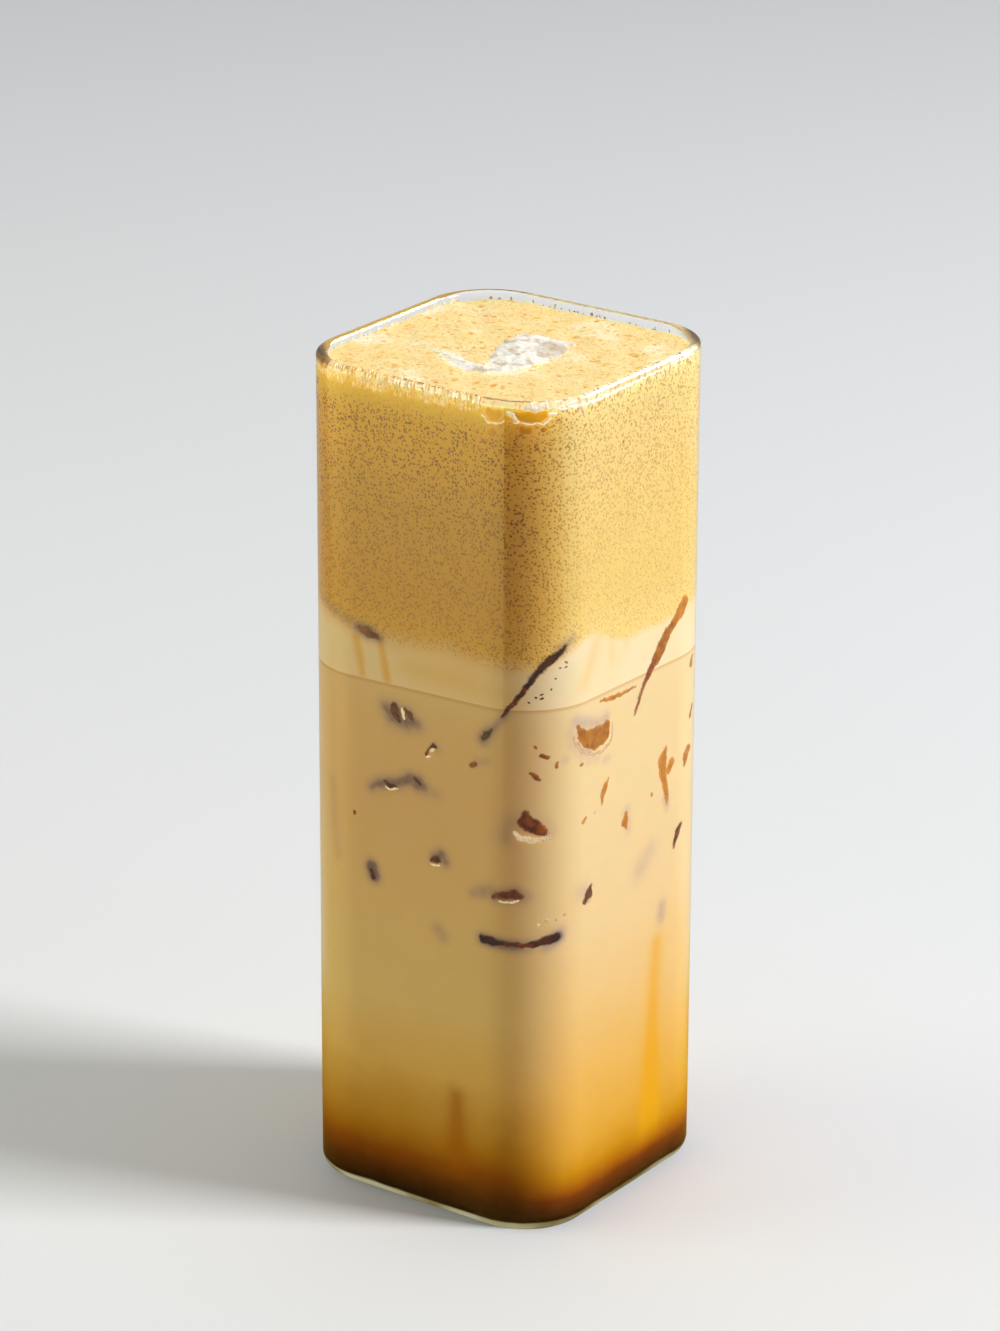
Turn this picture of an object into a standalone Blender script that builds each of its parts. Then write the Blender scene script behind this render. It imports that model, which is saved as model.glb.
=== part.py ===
# A latte in a tall square glass: dark coffee syrup at the foot, milky coffee, a band of cream, a deep golden foam
# and a blob of white milk foam afloat on it. Metres, +Z up, the origin under the middle of the glass's foot.
import math

import bmesh
import bpy
from mathutils import Vector

# The glass: a square tube with round corners, a flat foot and a rim rounded in the flame
SIDE = 0.0600
HEIGHT = 0.1700
WALL = 0.0019
OUTER_CORNER_RADIUS = 0.0135
INNER_CORNER_RADIUS = 0.0126
FLOOR_THICKNESS = 0.0018
FOOT_EDGE_RADIUS = 0.0030
FLOOR_EDGE_RADIUS = 0.0014

# Heights of the drink's layers above the foot, each at the middle of the glass
SYRUP_LEVEL = 0.0090
COFFEE_LEVEL = 0.1085
CREAM_LEVEL = 0.1172
FOAM_LEVEL = 0.1681

# How far each of those surfaces strays from level
SYRUP_TILT = 0.035
COFFEE_SADDLE = 0.00035
FOAM_SWELL = 0.00022
FOAM_SWELL_LENGTH = 0.019
CREAM_SWELL = 0.0004
CREAM_SWELL_LENGTH = 0.027

# Cream that has risen into the foam beside the wall: x, y, rise and radius of each crest
CREAM_CRESTS = (
    (0.0280, -0.0140, 0.0046, 0.0070),
    (-0.0270, -0.0250, 0.0030, 0.0075),
    (0.0260, 0.0230, 0.0012, 0.0060),
    (-0.0080, 0.0280, 0.0040, 0.0080),
    (-0.0280, 0.0080, 0.0028, 0.0070),
)

# Bubbles caught against the glass at the near corner: angle round that corner, height and radius
CORNER_BUBBLES = (
    (-82.0, 0.1668, 0.0019),
    (-58.0, 0.1675, 0.0021),
    (-41.0, 0.1674, 0.0018),
    (-85.0, 0.1633, 0.0010),
    (-57.0, 0.1642, 0.0012),
    (-43.0, 0.1644, 0.0007),
    (-68.0, 0.1650, 0.0006),
)

# Open bubbles on the foam's top: x, y and radius
TOP_BUBBLES = (
    (-0.0225, -0.0085, 0.0009),
    (-0.0229, 0.0000, 0.0008),
    (-0.0090, 0.0150, 0.0010),
    (0.0026, 0.0190, 0.0012),
    (0.0199, 0.0130, 0.0012),
    (0.0030, -0.0191, 0.0010),
    (0.0094, -0.0181, 0.0011),
    (0.0194, 0.0030, 0.0009),
    (-0.0170, 0.0175, 0.0011),
    (0.0120, 0.0225, 0.0008),
    (-0.0130, -0.0190, 0.0008),
    (0.0185, -0.0110, 0.0007),
)
BUBBLE_RISE = 0.0003

# The floating milk foam: an oval lump, and a tail drawn out from its near end
LUMP_CENTRE = (0.0022, 0.0012)
LUMP_LONG = 0.0122
LUMP_SHORT = 0.0070
LUMP_TURN = math.radians(105)
LUMP_RIPPLE = 0.0007
LUMP_THICKNESS = 0.0011
LUMP_BLUNTNESS = 0.78
TAIL_SPINE = (
    (-0.0138, -0.0068, 0.0005, 0.0003),
    (-0.0088, -0.0094, 0.0013, 0.0006),
    (-0.0038, -0.0118, 0.0018, 0.0009),
    (0.0010, -0.0118, 0.0024, 0.0010),
    (0.0048, -0.0090, 0.0030, 0.0009),
)

# Clearance between one piece and the next
GAP = 0.0003

# Fineness of the meshes
CORNER_STEPS = 7
SIDE_STEPS = 4
RIM_STEPS = 6
EDGE_STEPS = 4
CAP_RINGS = 5
FOAM_CAP_RINGS = 12
LUMP_STEPS = 36
LUMP_RINGS = 5
TAIL_STEPS = 8

# The drink fills the glass out to this half width, with this corner radius
DRINK_HALF = SIDE / 2 - WALL - GAP
DRINK_CORNER_RADIUS = INNER_CORNER_RADIUS - GAP


def linear(channel):
    """A colour channel from 0 to 255, as seen, turned into linear light."""
    value = channel / 255
    return value / 12.92 if value <= 0.04045 else ((value + 0.055) / 1.055) ** 2.4


def make_material(name, seen_colour, roughness, transmission=0.0):
    material = bpy.data.materials.new(name)
    material.use_nodes = True
    shader = material.node_tree.nodes["Principled BSDF"]
    colour = [linear(channel) for channel in seen_colour]
    shader.inputs["Base Color"].default_value = (*colour, 1.0)
    shader.inputs["Roughness"].default_value = roughness
    shader.inputs["Metallic"].default_value = 0.0
    shader.inputs["Transmission Weight"].default_value = transmission
    shader.inputs["IOR"].default_value = 1.47 if transmission else 1.40
    return material


def rounded_square(half, radius):
    """Points of one square ring with round corners, in order round the glass."""
    straight = half - radius
    corner = []
    for step in range(CORNER_STEPS + 1):
        angle = step / CORNER_STEPS * math.pi / 2
        corner.append((straight + radius * math.cos(angle), straight + radius * math.sin(angle)))
    for step in range(1, SIDE_STEPS):
        corner.append((straight * (1 - 2 * step / SIDE_STEPS), half))
    points = []
    for quarter in range(4):
        cosine = round(math.cos(quarter * math.pi / 2))
        sine = round(math.sin(quarter * math.pi / 2))
        points += [(x * cosine - y * sine, x * sine + y * cosine) for x, y in corner]
    return points


def add_ring(mesh, half, radius, height_at):
    return [mesh.verts.new((x, y, height_at(x, y))) for x, y in rounded_square(half, radius)]


def join_rings(mesh, first, second):
    count = len(first)
    for index in range(count):
        after = (index + 1) % count
        mesh.faces.new((first[index], first[after], second[after], second[index]))


def join_all(mesh, rings):
    for first, second in zip(rings, rings[1:]):
        join_rings(mesh, first, second)


def close_to_point(mesh, ring, centre):
    point = mesh.verts.new(centre)
    count = len(ring)
    for index in range(count):
        mesh.faces.new((ring[index], ring[(index + 1) % count], point))


def arc(steps, start, end):
    """Angles of an arc from start to end, in degrees, both ends included."""
    return [math.radians(start + (end - start) * step / steps) for step in range(steps + 1)]


def make_object(name, mesh, material, sharp_angle=40):
    bmesh.ops.recalc_face_normals(mesh, faces=mesh.faces)
    data = bpy.data.meshes.new(name)
    mesh.to_mesh(data)
    mesh.free()
    data.shade_smooth()
    data.set_sharp_from_angle(angle=math.radians(sharp_angle))
    if material:
        data.materials.append(material)
    made = bpy.data.objects.new(name, data)
    bpy.context.scene.collection.objects.link(made)
    return made


def make_guide(name, mesh):
    """An object that only cuts or joins another one."""
    guide = make_object(name, mesh, None)
    guide.hide_render = True
    guide.display_type = "WIRE"
    return guide


def add_boolean(target, guide, operation):
    modifier = target.modifiers.new(operation.lower(), "BOOLEAN")
    modifier.operation = operation
    modifier.object = guide
    modifier.solver = "EXACT"
    modifier.use_self = True


def syrup_surface(x, y):
    return SYRUP_LEVEL + SYRUP_TILT * (x + y) / 2


def coffee_surface(x, y):
    return COFFEE_LEVEL - COFFEE_SADDLE * 2 * x * y / DRINK_HALF ** 2


def cream_surface(x, y):
    swell = math.sin(x / CREAM_SWELL_LENGTH * 2 * math.pi) * math.cos(y / CREAM_SWELL_LENGTH * 2 * math.pi)
    height = CREAM_LEVEL + CREAM_SWELL * swell
    for crest_x, crest_y, rise, radius in CREAM_CRESTS:
        distance = math.hypot(x - crest_x, y - crest_y)
        height += rise * math.exp(-(distance / radius) ** 2)
    return height


def foam_surface(x, y):
    turn = 2 * math.pi / FOAM_SWELL_LENGTH
    swell = math.sin(x * turn + 0.6) * math.cos(y * turn * 0.8) + 0.6 * math.sin((x + y) * turn * 1.7)
    return FOAM_LEVEL + FOAM_SWELL * swell


def lowered(surface, drop):
    return lambda x, y: surface(x, y) - drop


def make_glass(material):
    """One closed skin: up the outside from the foot, over the rim and down the inside to the floor."""
    mesh = bmesh.new()
    profile = []
    for angle in arc(EDGE_STEPS, -90, 0):
        inset = FOOT_EDGE_RADIUS * (1 - math.cos(angle))
        height = FOOT_EDGE_RADIUS * (1 + math.sin(angle))
        profile.append((inset, height, OUTER_CORNER_RADIUS - inset))
    rim_radius = WALL / 2
    for angle in arc(RIM_STEPS, 180, 0):
        across = rim_radius * (1 + math.cos(angle))
        share = across / WALL
        corner_radius = OUTER_CORNER_RADIUS * (1 - share) + INNER_CORNER_RADIUS * share
        profile.append((across, HEIGHT - rim_radius + rim_radius * math.sin(angle), corner_radius))
    for angle in arc(EDGE_STEPS, 0, -90):
        inset = FLOOR_EDGE_RADIUS * (1 - math.cos(angle))
        height = FLOOR_THICKNESS + FLOOR_EDGE_RADIUS * (1 + math.sin(angle))
        profile.append((WALL + inset, height, INNER_CORNER_RADIUS - inset))
    rings = []
    for inset, height, corner_radius in profile:
        rings.append(add_ring(mesh, SIDE / 2 - inset, corner_radius, lambda x, y: height))
    join_all(mesh, rings)
    close_to_point(mesh, rings[0], (0, 0, 0))
    close_to_point(mesh, rings[-1], (0, 0, FLOOR_THICKNESS))
    return make_object("glass", mesh, material)


def cap_rings(mesh, half, radius, surface, count):
    """Rings from the edge of a surface towards its middle, without the middle point."""
    rings = []
    for index in range(count):
        share = 1 - index / count
        rings.append(add_ring(mesh, half * share, radius * share, surface))
    return rings


def make_layer(name, material, floor, surface, surface_rings=CAP_RINGS):
    """One layer of the drink, out to the glass, between two uneven surfaces."""
    mesh = bmesh.new()
    bottom = cap_rings(mesh, DRINK_HALF, DRINK_CORNER_RADIUS, floor, CAP_RINGS)
    top = cap_rings(mesh, DRINK_HALF, DRINK_CORNER_RADIUS, surface, surface_rings)
    join_all(mesh, bottom)
    join_rings(mesh, top[0], bottom[0])
    join_all(mesh, top)
    close_to_point(mesh, bottom[-1], (0, 0, floor(0, 0)))
    close_to_point(mesh, top[-1], (0, 0, surface(0, 0)))
    return make_object(name, mesh, material)


def make_syrup(material):
    """The lowest layer, round where the glass's floor turns up into its walls."""
    mesh = bmesh.new()
    edge_radius = FLOOR_EDGE_RADIUS - GAP
    floor_height = FLOOR_THICKNESS + GAP
    rings = []
    for angle in arc(EDGE_STEPS, -90, 0):
        inset = edge_radius * (1 - math.cos(angle))
        height = floor_height + edge_radius * (1 + math.sin(angle))
        rings.append(add_ring(mesh, DRINK_HALF - inset, DRINK_CORNER_RADIUS - inset, lambda x, y: height))
    surface = lowered(syrup_surface, GAP / 2)
    rings += cap_rings(mesh, DRINK_HALF, DRINK_CORNER_RADIUS, surface, CAP_RINGS)
    join_all(mesh, rings)
    close_to_point(mesh, rings[0], (0, 0, floor_height))
    close_to_point(mesh, rings[-1], (0, 0, surface(0, 0)))
    return make_object("syrup_layer", mesh, material)


def make_foam(material):
    foam = make_layer("foam_layer", material, lowered(cream_surface, -GAP / 2), foam_surface, FOAM_CAP_RINGS)
    corner = SIDE / 2 - WALL - INNER_CORNER_RADIUS
    bubbles = []
    for angle, height, radius in CORNER_BUBBLES:
        turn = math.radians(angle)
        x = corner + DRINK_CORNER_RADIUS * math.cos(turn)
        y = -corner + DRINK_CORNER_RADIUS * math.sin(turn)
        bubbles.append(((x, y, height), radius))
    for x, y, radius in TOP_BUBBLES:
        bubbles.append(((x, y, foam_surface(x, y) + BUBBLE_RISE), radius))
    mesh = bmesh.new()
    for centre, radius in bubbles:
        sphere = bmesh.ops.create_icosphere(mesh, subdivisions=2, radius=radius)
        bmesh.ops.translate(mesh, verts=sphere["verts"], vec=Vector(centre))
    add_boolean(foam, make_guide("foam_bubbles", mesh), "DIFFERENCE")
    return foam


def make_tail():
    """A drawn-out streak of milk foam, round on top and widening towards the lump."""
    mesh = bmesh.new()
    spine = [Vector((x, y)) for x, y, _, _ in TAIL_SPINE]
    rings = []
    for index, (x, y, half_width, height) in enumerate(TAIL_SPINE):
        before = spine[max(index - 1, 0)]
        after = spine[min(index + 1, len(spine) - 1)]
        along = (after - before).normalized()
        ring = []
        for step in range(TAIL_STEPS):
            angle = 2 * math.pi * step / TAIL_STEPS
            across = half_width * math.cos(angle)
            lift = height * (1 + math.sin(angle)) / 2
            place_x = x - along.y * across
            place_y = y + along.x * across
            ring.append(mesh.verts.new((place_x, place_y, foam_surface(place_x, place_y) + GAP + lift)))
        rings.append(ring)
    join_all(mesh, rings)
    mesh.faces.new(rings[0])
    mesh.faces.new(rings[-1])
    return make_guide("milk_foam_tail", mesh)


def blunted(value):
    """Pushes the ends of an oval out towards a box."""
    return math.copysign(abs(value) ** LUMP_BLUNTNESS, value)


def lump_outline(angle, share):
    """A point of the lump, a share of the way from its middle to its wavy edge."""
    ripple = 1 + LUMP_RIPPLE / LUMP_SHORT * (math.cos(3 * angle + 0.5) + 0.7 * math.sin(5 * angle))
    along = LUMP_LONG * blunted(math.cos(angle)) * ripple * share
    across = LUMP_SHORT * blunted(math.sin(angle)) * ripple * share
    x = LUMP_CENTRE[0] + along * math.cos(LUMP_TURN) - across * math.sin(LUMP_TURN)
    y = LUMP_CENTRE[1] + along * math.sin(LUMP_TURN) + across * math.cos(LUMP_TURN)
    return x, y


def make_milk_foam(material):
    """The white lump, a low dome that lies on the golden foam, with its tail joined on."""
    mesh = bmesh.new()

    def lump_ring(share, lift):
        ring = []
        for step in range(LUMP_STEPS):
            x, y = lump_outline(2 * math.pi * step / LUMP_STEPS, share)
            ring.append(mesh.verts.new((x, y, foam_surface(x, y) + GAP + lift)))
        return ring

    rings = [lump_ring(index / LUMP_RINGS, 0.0) for index in range(1, LUMP_RINGS + 1)]
    for index in range(LUMP_RINGS - 1, 0, -1):
        share = index / LUMP_RINGS
        rings.append(lump_ring(share, LUMP_THICKNESS * (1 - share ** 2.4)))
    join_all(mesh, rings)
    centre_height = foam_surface(*LUMP_CENTRE) + GAP
    close_to_point(mesh, rings[0], (*LUMP_CENTRE, centre_height))
    close_to_point(mesh, rings[-1], (*LUMP_CENTRE, centre_height + LUMP_THICKNESS))
    lump = make_object("milk_foam_island", mesh, material)
    add_boolean(lump, make_tail(), "UNION")
    return lump


def main():
    for old in list(bpy.data.objects):
        bpy.data.objects.remove(old)
    make_glass(make_material("clear_glass", (236, 240, 238), 0.03, transmission=1.0))
    make_syrup(make_material("dark_syrup", (78, 34, 10), 0.30))
    coffee_floor = lowered(syrup_surface, -GAP / 2)
    coffee_top = lowered(coffee_surface, GAP / 2)
    make_layer("coffee_layer", make_material("milky_coffee", (240, 205, 140), 0.35), coffee_floor, coffee_top)
    cream_floor = lowered(coffee_surface, -GAP / 2)
    cream_top = lowered(cream_surface, GAP / 2)
    make_layer("cream_layer", make_material("cream", (248, 229, 182), 0.35), cream_floor, cream_top)
    make_foam(make_material("golden_foam", (244, 211, 132), 0.60))
    make_milk_foam(make_material("white_milk_foam", (240, 233, 220), 0.70))


main()
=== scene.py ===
# The looks of the latte: a clear square glass, dark syrup, milky coffee with traces of sunk ice,
# a band of cream, golden foam full of fine bubbles, and white milk foam afloat on it.
# Metres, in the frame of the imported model.
import math
import random

import bpy
import numpy as np
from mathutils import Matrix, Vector, noise


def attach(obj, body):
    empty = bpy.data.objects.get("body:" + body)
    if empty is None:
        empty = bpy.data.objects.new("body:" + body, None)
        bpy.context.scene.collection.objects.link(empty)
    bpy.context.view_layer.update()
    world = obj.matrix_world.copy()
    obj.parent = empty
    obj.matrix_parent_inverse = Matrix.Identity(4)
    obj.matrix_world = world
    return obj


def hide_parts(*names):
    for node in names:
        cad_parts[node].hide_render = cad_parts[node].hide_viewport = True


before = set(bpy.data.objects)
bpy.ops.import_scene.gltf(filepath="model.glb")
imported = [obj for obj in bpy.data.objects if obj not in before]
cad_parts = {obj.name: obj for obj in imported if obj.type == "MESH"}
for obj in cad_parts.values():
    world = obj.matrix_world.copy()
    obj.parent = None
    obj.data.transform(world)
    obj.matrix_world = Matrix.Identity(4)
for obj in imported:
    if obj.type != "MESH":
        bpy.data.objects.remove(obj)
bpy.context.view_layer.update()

MM = 0.001
RNG = random.Random(7)


def dot(run, height, size, length=0.1):
    """A stroke so short that it is a dot."""
    return ((run, height, size), (run + length, height, size))


# The glass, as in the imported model
SIDE = 0.0600
HEIGHT = 0.1700
WALL = 0.0019
OUTER_CORNER_RADIUS = 0.0135
INNER_CORNER_RADIUS = 0.0126
FLOOR_THICKNESS = 0.0018
FOOT_EDGE_RADIUS = 0.0030
FLOOR_EDGE_RADIUS = 0.0014

# The drink's surfaces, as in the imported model
SYRUP_LEVEL = 0.0090
COFFEE_LEVEL = 0.1085
CREAM_LEVEL = 0.1172
FOAM_LEVEL = 0.1681
SYRUP_TILT = 0.035
COFFEE_SADDLE = 0.00035
FOAM_SWELL = 0.00012
FOAM_SWELL_LENGTH = 0.019
CREAM_SWELL = 0.0004
CREAM_SWELL_LENGTH = 0.027
DRINK_HALF = 0.0278
CREAM_CRESTS = (
    (0.0280, -0.0140, 0.0046, 0.0070),
    (-0.0270, -0.0250, 0.0030, 0.0075),
    (0.0260, 0.0230, 0.0012, 0.0060),
    (-0.0080, 0.0280, 0.0040, 0.0080),
    (-0.0280, 0.0080, 0.0028, 0.0070),
)

# The strokes below are lines of points on the inside of the glass, in millimetres: each point's place
# along it, from the middle of the near corner to the right, its height, and the stroke's half width there

# Bubbles of foam at the near corner: tone from 0, brown, to 1, golden, and a stroke
CORNER_BUBBLES = (
    (1.0, ((-9.3, 167.2, 0.9), (-8.3, 166.6, 1.25), (-7.3, 167.2, 0.9))),
    (0.9, ((-4.3, 167.3, 0.7), (-2.8, 166.9, 1.1), (-0.4, 166.9, 1.15), (0.8, 167.3, 0.8))),
    (0.4, ((-8.7, 163.3, 0.9), (-8.6, 163.4, 0.9))),
    (0.3, ((-3.0, 164.4, 0.85), (-2.0, 164.4, 0.85))),
    (0.2, dot(0.6, 164.4, 0.5)),
    (0.7, ((-5.4, 165.6, 0.3), (-4.8, 165.7, 0.25))),
    (0.3, dot(-9.7, 161.5, 0.4)),
    (0.8, dot(6.1, 166.6, 0.25)),
    (0.5, dot(4.0, 167.7, 0.3)),
    (0.4, dot(3.3, 166.1, 0.3)),
    (0.4, dot(21.2, 157.4, 0.35)),
)

# White froth between them, and a white line along the rim right of the near corner, which is a painted
# highlight
CORNER_FROTH_AND_HIGHLIGHT = (
    ((-5.9, 168.0, 0.25), (-4.9, 167.1, 0.45), (-3.7, 166.1, 0.25)),
    ((-2.4, 168.6, 0.40), (-0.7, 168.4, 0.60), (1.0, 168.7, 0.45)),
    ((1.6, 167.4, 0.35), (2.6, 167.2, 0.25)),
    # This stroke and the next two are the painted highlight along the rim
    ((1.8, 168.0, 0.14), (5.7, 168.1, 0.34), (13.3, 167.8, 0.38), (27.3, 168.1, 0.32), (36.0, 168.3, 0.18)),
    ((37.0, 168.4, 0.20), (39.2, 168.5, 0.24)),
    ((40.4, 168.5, 0.24), (43.0, 168.7, 0.18)),
    ((-10.6, 166.4, 0.12), (-9.4, 165.3, 0.12), (-7.6, 165.1, 0.12), (-6.4, 166.0, 0.12)),
    ((-4.4, 165.9, 0.10), (-2.6, 165.6, 0.10), (0.4, 165.6, 0.12), (2.0, 166.5, 0.12)),
)

# Open bubbles on the foam's top: x, y and radius in millimetres
TOP_BUBBLES = (
    (-22.2, 21.3, 0.9), (-19.3, 23.9, 0.6), (-4.8, 21.7, 0.7), (-7.0, 12.8, 0.9), (-2.0, 15.8, 0.7),
    (4.0, 16.0, 1.1), (-13.1, 5.4, 0.9), (-6.0, -0.4, 0.7), (-6.4, -5.8, 0.8), (-12.2, -4.5, 0.8),
    (1.3, -19.3, 0.8), (9.2, -18.1, 1.0), (15.7, -6.0, 0.7), (16.2, 5.5, 0.9), (-23.5, -8.5, 0.8),
    (19.9, 13.0, 1.0), (-13.0, -19.0, 0.7), (-17.0, 12.0, 0.7), (12.0, 22.5, 0.8),
)

# The white milk foam: strokes of x, y and half width, for its lump, its tail and the feathers along it
MILK_STROKES = (
    ((-0.0010, 0.0086, 0.0041), (-0.0004, 0.0040, 0.0043), (0.0012, -0.0015, 0.0038),
     (0.0022, -0.0050, 0.0032)),
    ((0.0040, 0.0088, 0.0036), (0.0048, 0.0050, 0.0048), (0.0050, 0.0000, 0.0044), (0.0054, -0.0036, 0.0036)),
    ((0.0040, 0.0095, 0.0029), (0.0071, 0.0108, 0.0012)),
    ((-0.0125, -0.0077, 0.0004), (-0.0085, -0.0086, 0.0012), (-0.0050, -0.0100, 0.0018),
     (-0.0015, -0.0112, 0.0021), (0.0020, -0.0112, 0.0023), (0.0045, -0.0092, 0.0027),
     (0.0056, -0.0060, 0.0032)),
    ((-0.0094, -0.0098, 0.0003), (-0.0050, -0.0128, 0.0005), (0.0010, -0.0148, 0.0005),
     (0.0050, -0.0140, 0.0003)),
    ((-0.0062, -0.0116, 0.0004), (0.0000, -0.0136, 0.0006), (0.0050, -0.0126, 0.0006),
     (0.0086, -0.0088, 0.0004)),
    ((0.0060, -0.0116, 0.0003), (0.0092, -0.0080, 0.0005), (0.0098, -0.0030, 0.0003)),
)
MILK_THICKNESS = 0.0008
MILK_SLOPE = 0.0020

# The drink's sides lie this far out into the glass, so that no air shows between the two
INTO_GLASS = 0.00025

# The inside of the glass, unrolled
STRAIGHT = SIDE / 2 - WALL - INNER_CORNER_RADIUS
CORNER_RUN = INNER_CORNER_RADIUS * math.pi / 2
QUARTER_RUN = 2 * STRAIGHT + CORNER_RUN
WHOLE_RUN = 4 * QUARTER_RUN

COLUMNS = 420
COLUMN_RUNS = (np.arange(COLUMNS) / COLUMNS - 0.5) * WHOLE_RUN

# Ice that touches the glass: tone from 0, nearly black, to 1, amber, and a stroke
ICE_TRACES = (
    (0.70, ((7.9, 104.2, 0.5), (8.8, 102.4, 1.2), (10.6, 100.9, 1.9), (13.2, 100.3, 2.4), (15.8, 100.4, 2.1),
            (16.8, 101.8, 1.1))),
    (0.45, ((8.4, 103.2, 0.4), (9.4, 101.4, 0.9), (10.2, 100.4, 0.5))),
    (0.32, ((-2.2, 88.2, 0.7), (-2.1, 86.6, 1.4))),
    (0.34, ((-2.1, 86.3, 1.5), (-0.7, 85.4, 1.5), (0.9, 84.3, 1.0))),
    (0.06, ((4.9, 121.2, 0.4), (3.5, 120.0, 0.8), (1.6, 118.6, 0.92), (-0.4, 116.5, 0.75),
            (-2.1, 113.8, 0.55))),
    (0.20, ((-1.9, 114.1, 0.45), (-3.8, 111.2, 0.42), (-5.6, 108.8, 0.42), (-6.4, 107.4, 0.2))),
    (0.02, ((-8.4, 104.6, 0.2), (-9.5, 103.2, 0.7), (-10.3, 102.3, 0.5))),
    (0.92, ((42.8, 119.0, 1.4), (41.2, 117.2, 1.4), (39.3, 115.8, 1.0))),
    (0.66, ((39.3, 115.8, 0.9), (37.2, 114.4, 1.3), (35.3, 112.4, 1.7), (33.4, 110.2, 1.4))),
    (0.45, ((33.2, 110.2, 1.2), (31.1, 108.2, 0.9), (28.8, 105.6, 0.6), (26.9, 102.2, 0.5),
            (26.2, 101.0, 0.3))),
    (0.30, ((-31.1, 104.0, 0.9), (-30.9, 102.8, 1.1), (-30.1, 101.4, 0.6))),
    (0.28, ((-28.5, 104.0, 0.4), (-27.5, 103.2, 0.8), (-27.0, 102.6, 0.5))),
    (0.10, ((-22.7, 97.5, 0.2), (-21.9, 98.1, 0.5), (-21.3, 98.0, 0.3))),
    (0.35, ((-23.6, 96.0, 0.3), (-22.8, 97.2, 0.2))),
    (0.50, ((-12.9, 96.1, 0.5), (-12.2, 96.7, 0.5))),
    (0.15, ((-33.4, 88.0, 0.3), (-32.0, 87.4, 0.6), (-30.9, 87.6, 0.3))),
    (0.25, ((-26.3, 90.4, 0.2), (-25.0, 89.5, 0.3))),
    (0.35, ((-40.7, 80.0, 0.2), (-40.7, 79.6, 0.2))),
    (0.00, ((-36.8, 68.6, 0.4), (-36.2, 67.3, 0.5))),
    (0.15, ((-22.4, 74.3, 0.4), (-21.1, 74.9, 0.8), (-20.2, 74.6, 0.3))),
    (0.36, ((-8.1, 70.4, 0.4), (-6.2, 71.0, 0.7), (-4.1, 71.4, 1.0), (-3.0, 71.1, 0.6))),
    (0.22, ((12.0, 70.2, 0.5), (11.3, 68.9, 1.3), (10.2, 67.7, 0.8))),
    (0.03, ((-10.3, 61.1, 0.8), (-8.4, 61.1, 1.0), (-7.0, 61.0, 0.6))),
    (0.22, ((-7.1, 61.0, 0.5), (-4.9, 61.0, 0.4), (-2.8, 60.9, 0.5), (-0.7, 61.0, 0.6))),
    (0.04, ((-0.9, 61.1, 0.6), (1.4, 61.7, 1.0), (3.5, 62.1, 1.0))),
    (0.50, ((-0.5, 101.6, 0.2), (-0.4, 101.5, 0.2))),
    (0.50, ((0.4, 99.8, 0.3), (1.7, 99.4, 0.3))),
    (0.60, ((3.5, 98.1, 0.2), (3.4, 97.2, 0.25))),
    (0.60, dot(8.7, 96.2, 0.3)),
    (0.50, ((-1.3, 96.4, 0.3), (-0.5, 95.6, 0.6), (0.1, 95.0, 0.35))),
    (0.80, ((17.5, 90.6, 0.3), (16.7, 89.4, 0.8), (15.8, 88.1, 0.8), (15.4, 86.0, 0.25))),
    (0.85, ((9.4, 84.3, 0.3), (10.1, 85.0, 0.3))),
    (0.92, ((37.1, 90.3, 0.6), (36.0, 88.3, 1.5), (36.3, 85.6, 1.3), (36.9, 83.2, 0.9), (37.6, 80.9, 0.8),
            (37.9, 78.5, 0.3))),
    (0.92, ((39.2, 86.9, 1.0), (38.1, 85.5, 0.8))),
    (0.70, ((45.3, 87.6, 1.0), (44.2, 86.2, 1.0), (43.9, 84.8, 0.4))),
    (0.82, ((23.7, 81.2, 0.6), (23.3, 79.8, 1.1), (23.9, 78.5, 0.5))),
    (0.22, ((42.9, 72.8, 0.4), (41.8, 71.6, 0.9), (41.0, 70.1, 0.7), (40.4, 68.4, 0.3))),
    (0.85, dot(32.4, 82.3, 0.3)),
    (0.80, ((14.6, 107.4, 0.2), (18.3, 106.8, 0.5), (21.6, 106.6, 0.4), (26.3, 106.7, 0.2))),
    (0.35, ((-39.4, 118.2, 0.5), (-37.2, 117.7, 1.1), (-35.0, 117.2, 0.5))),
    (0.70, ((46.6, 106.3, 0.5), (46.1, 105.0, 0.8))),
    (0.60, ((47.1, 96.1, 0.4), (46.1, 94.2, 0.6))),
)

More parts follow.
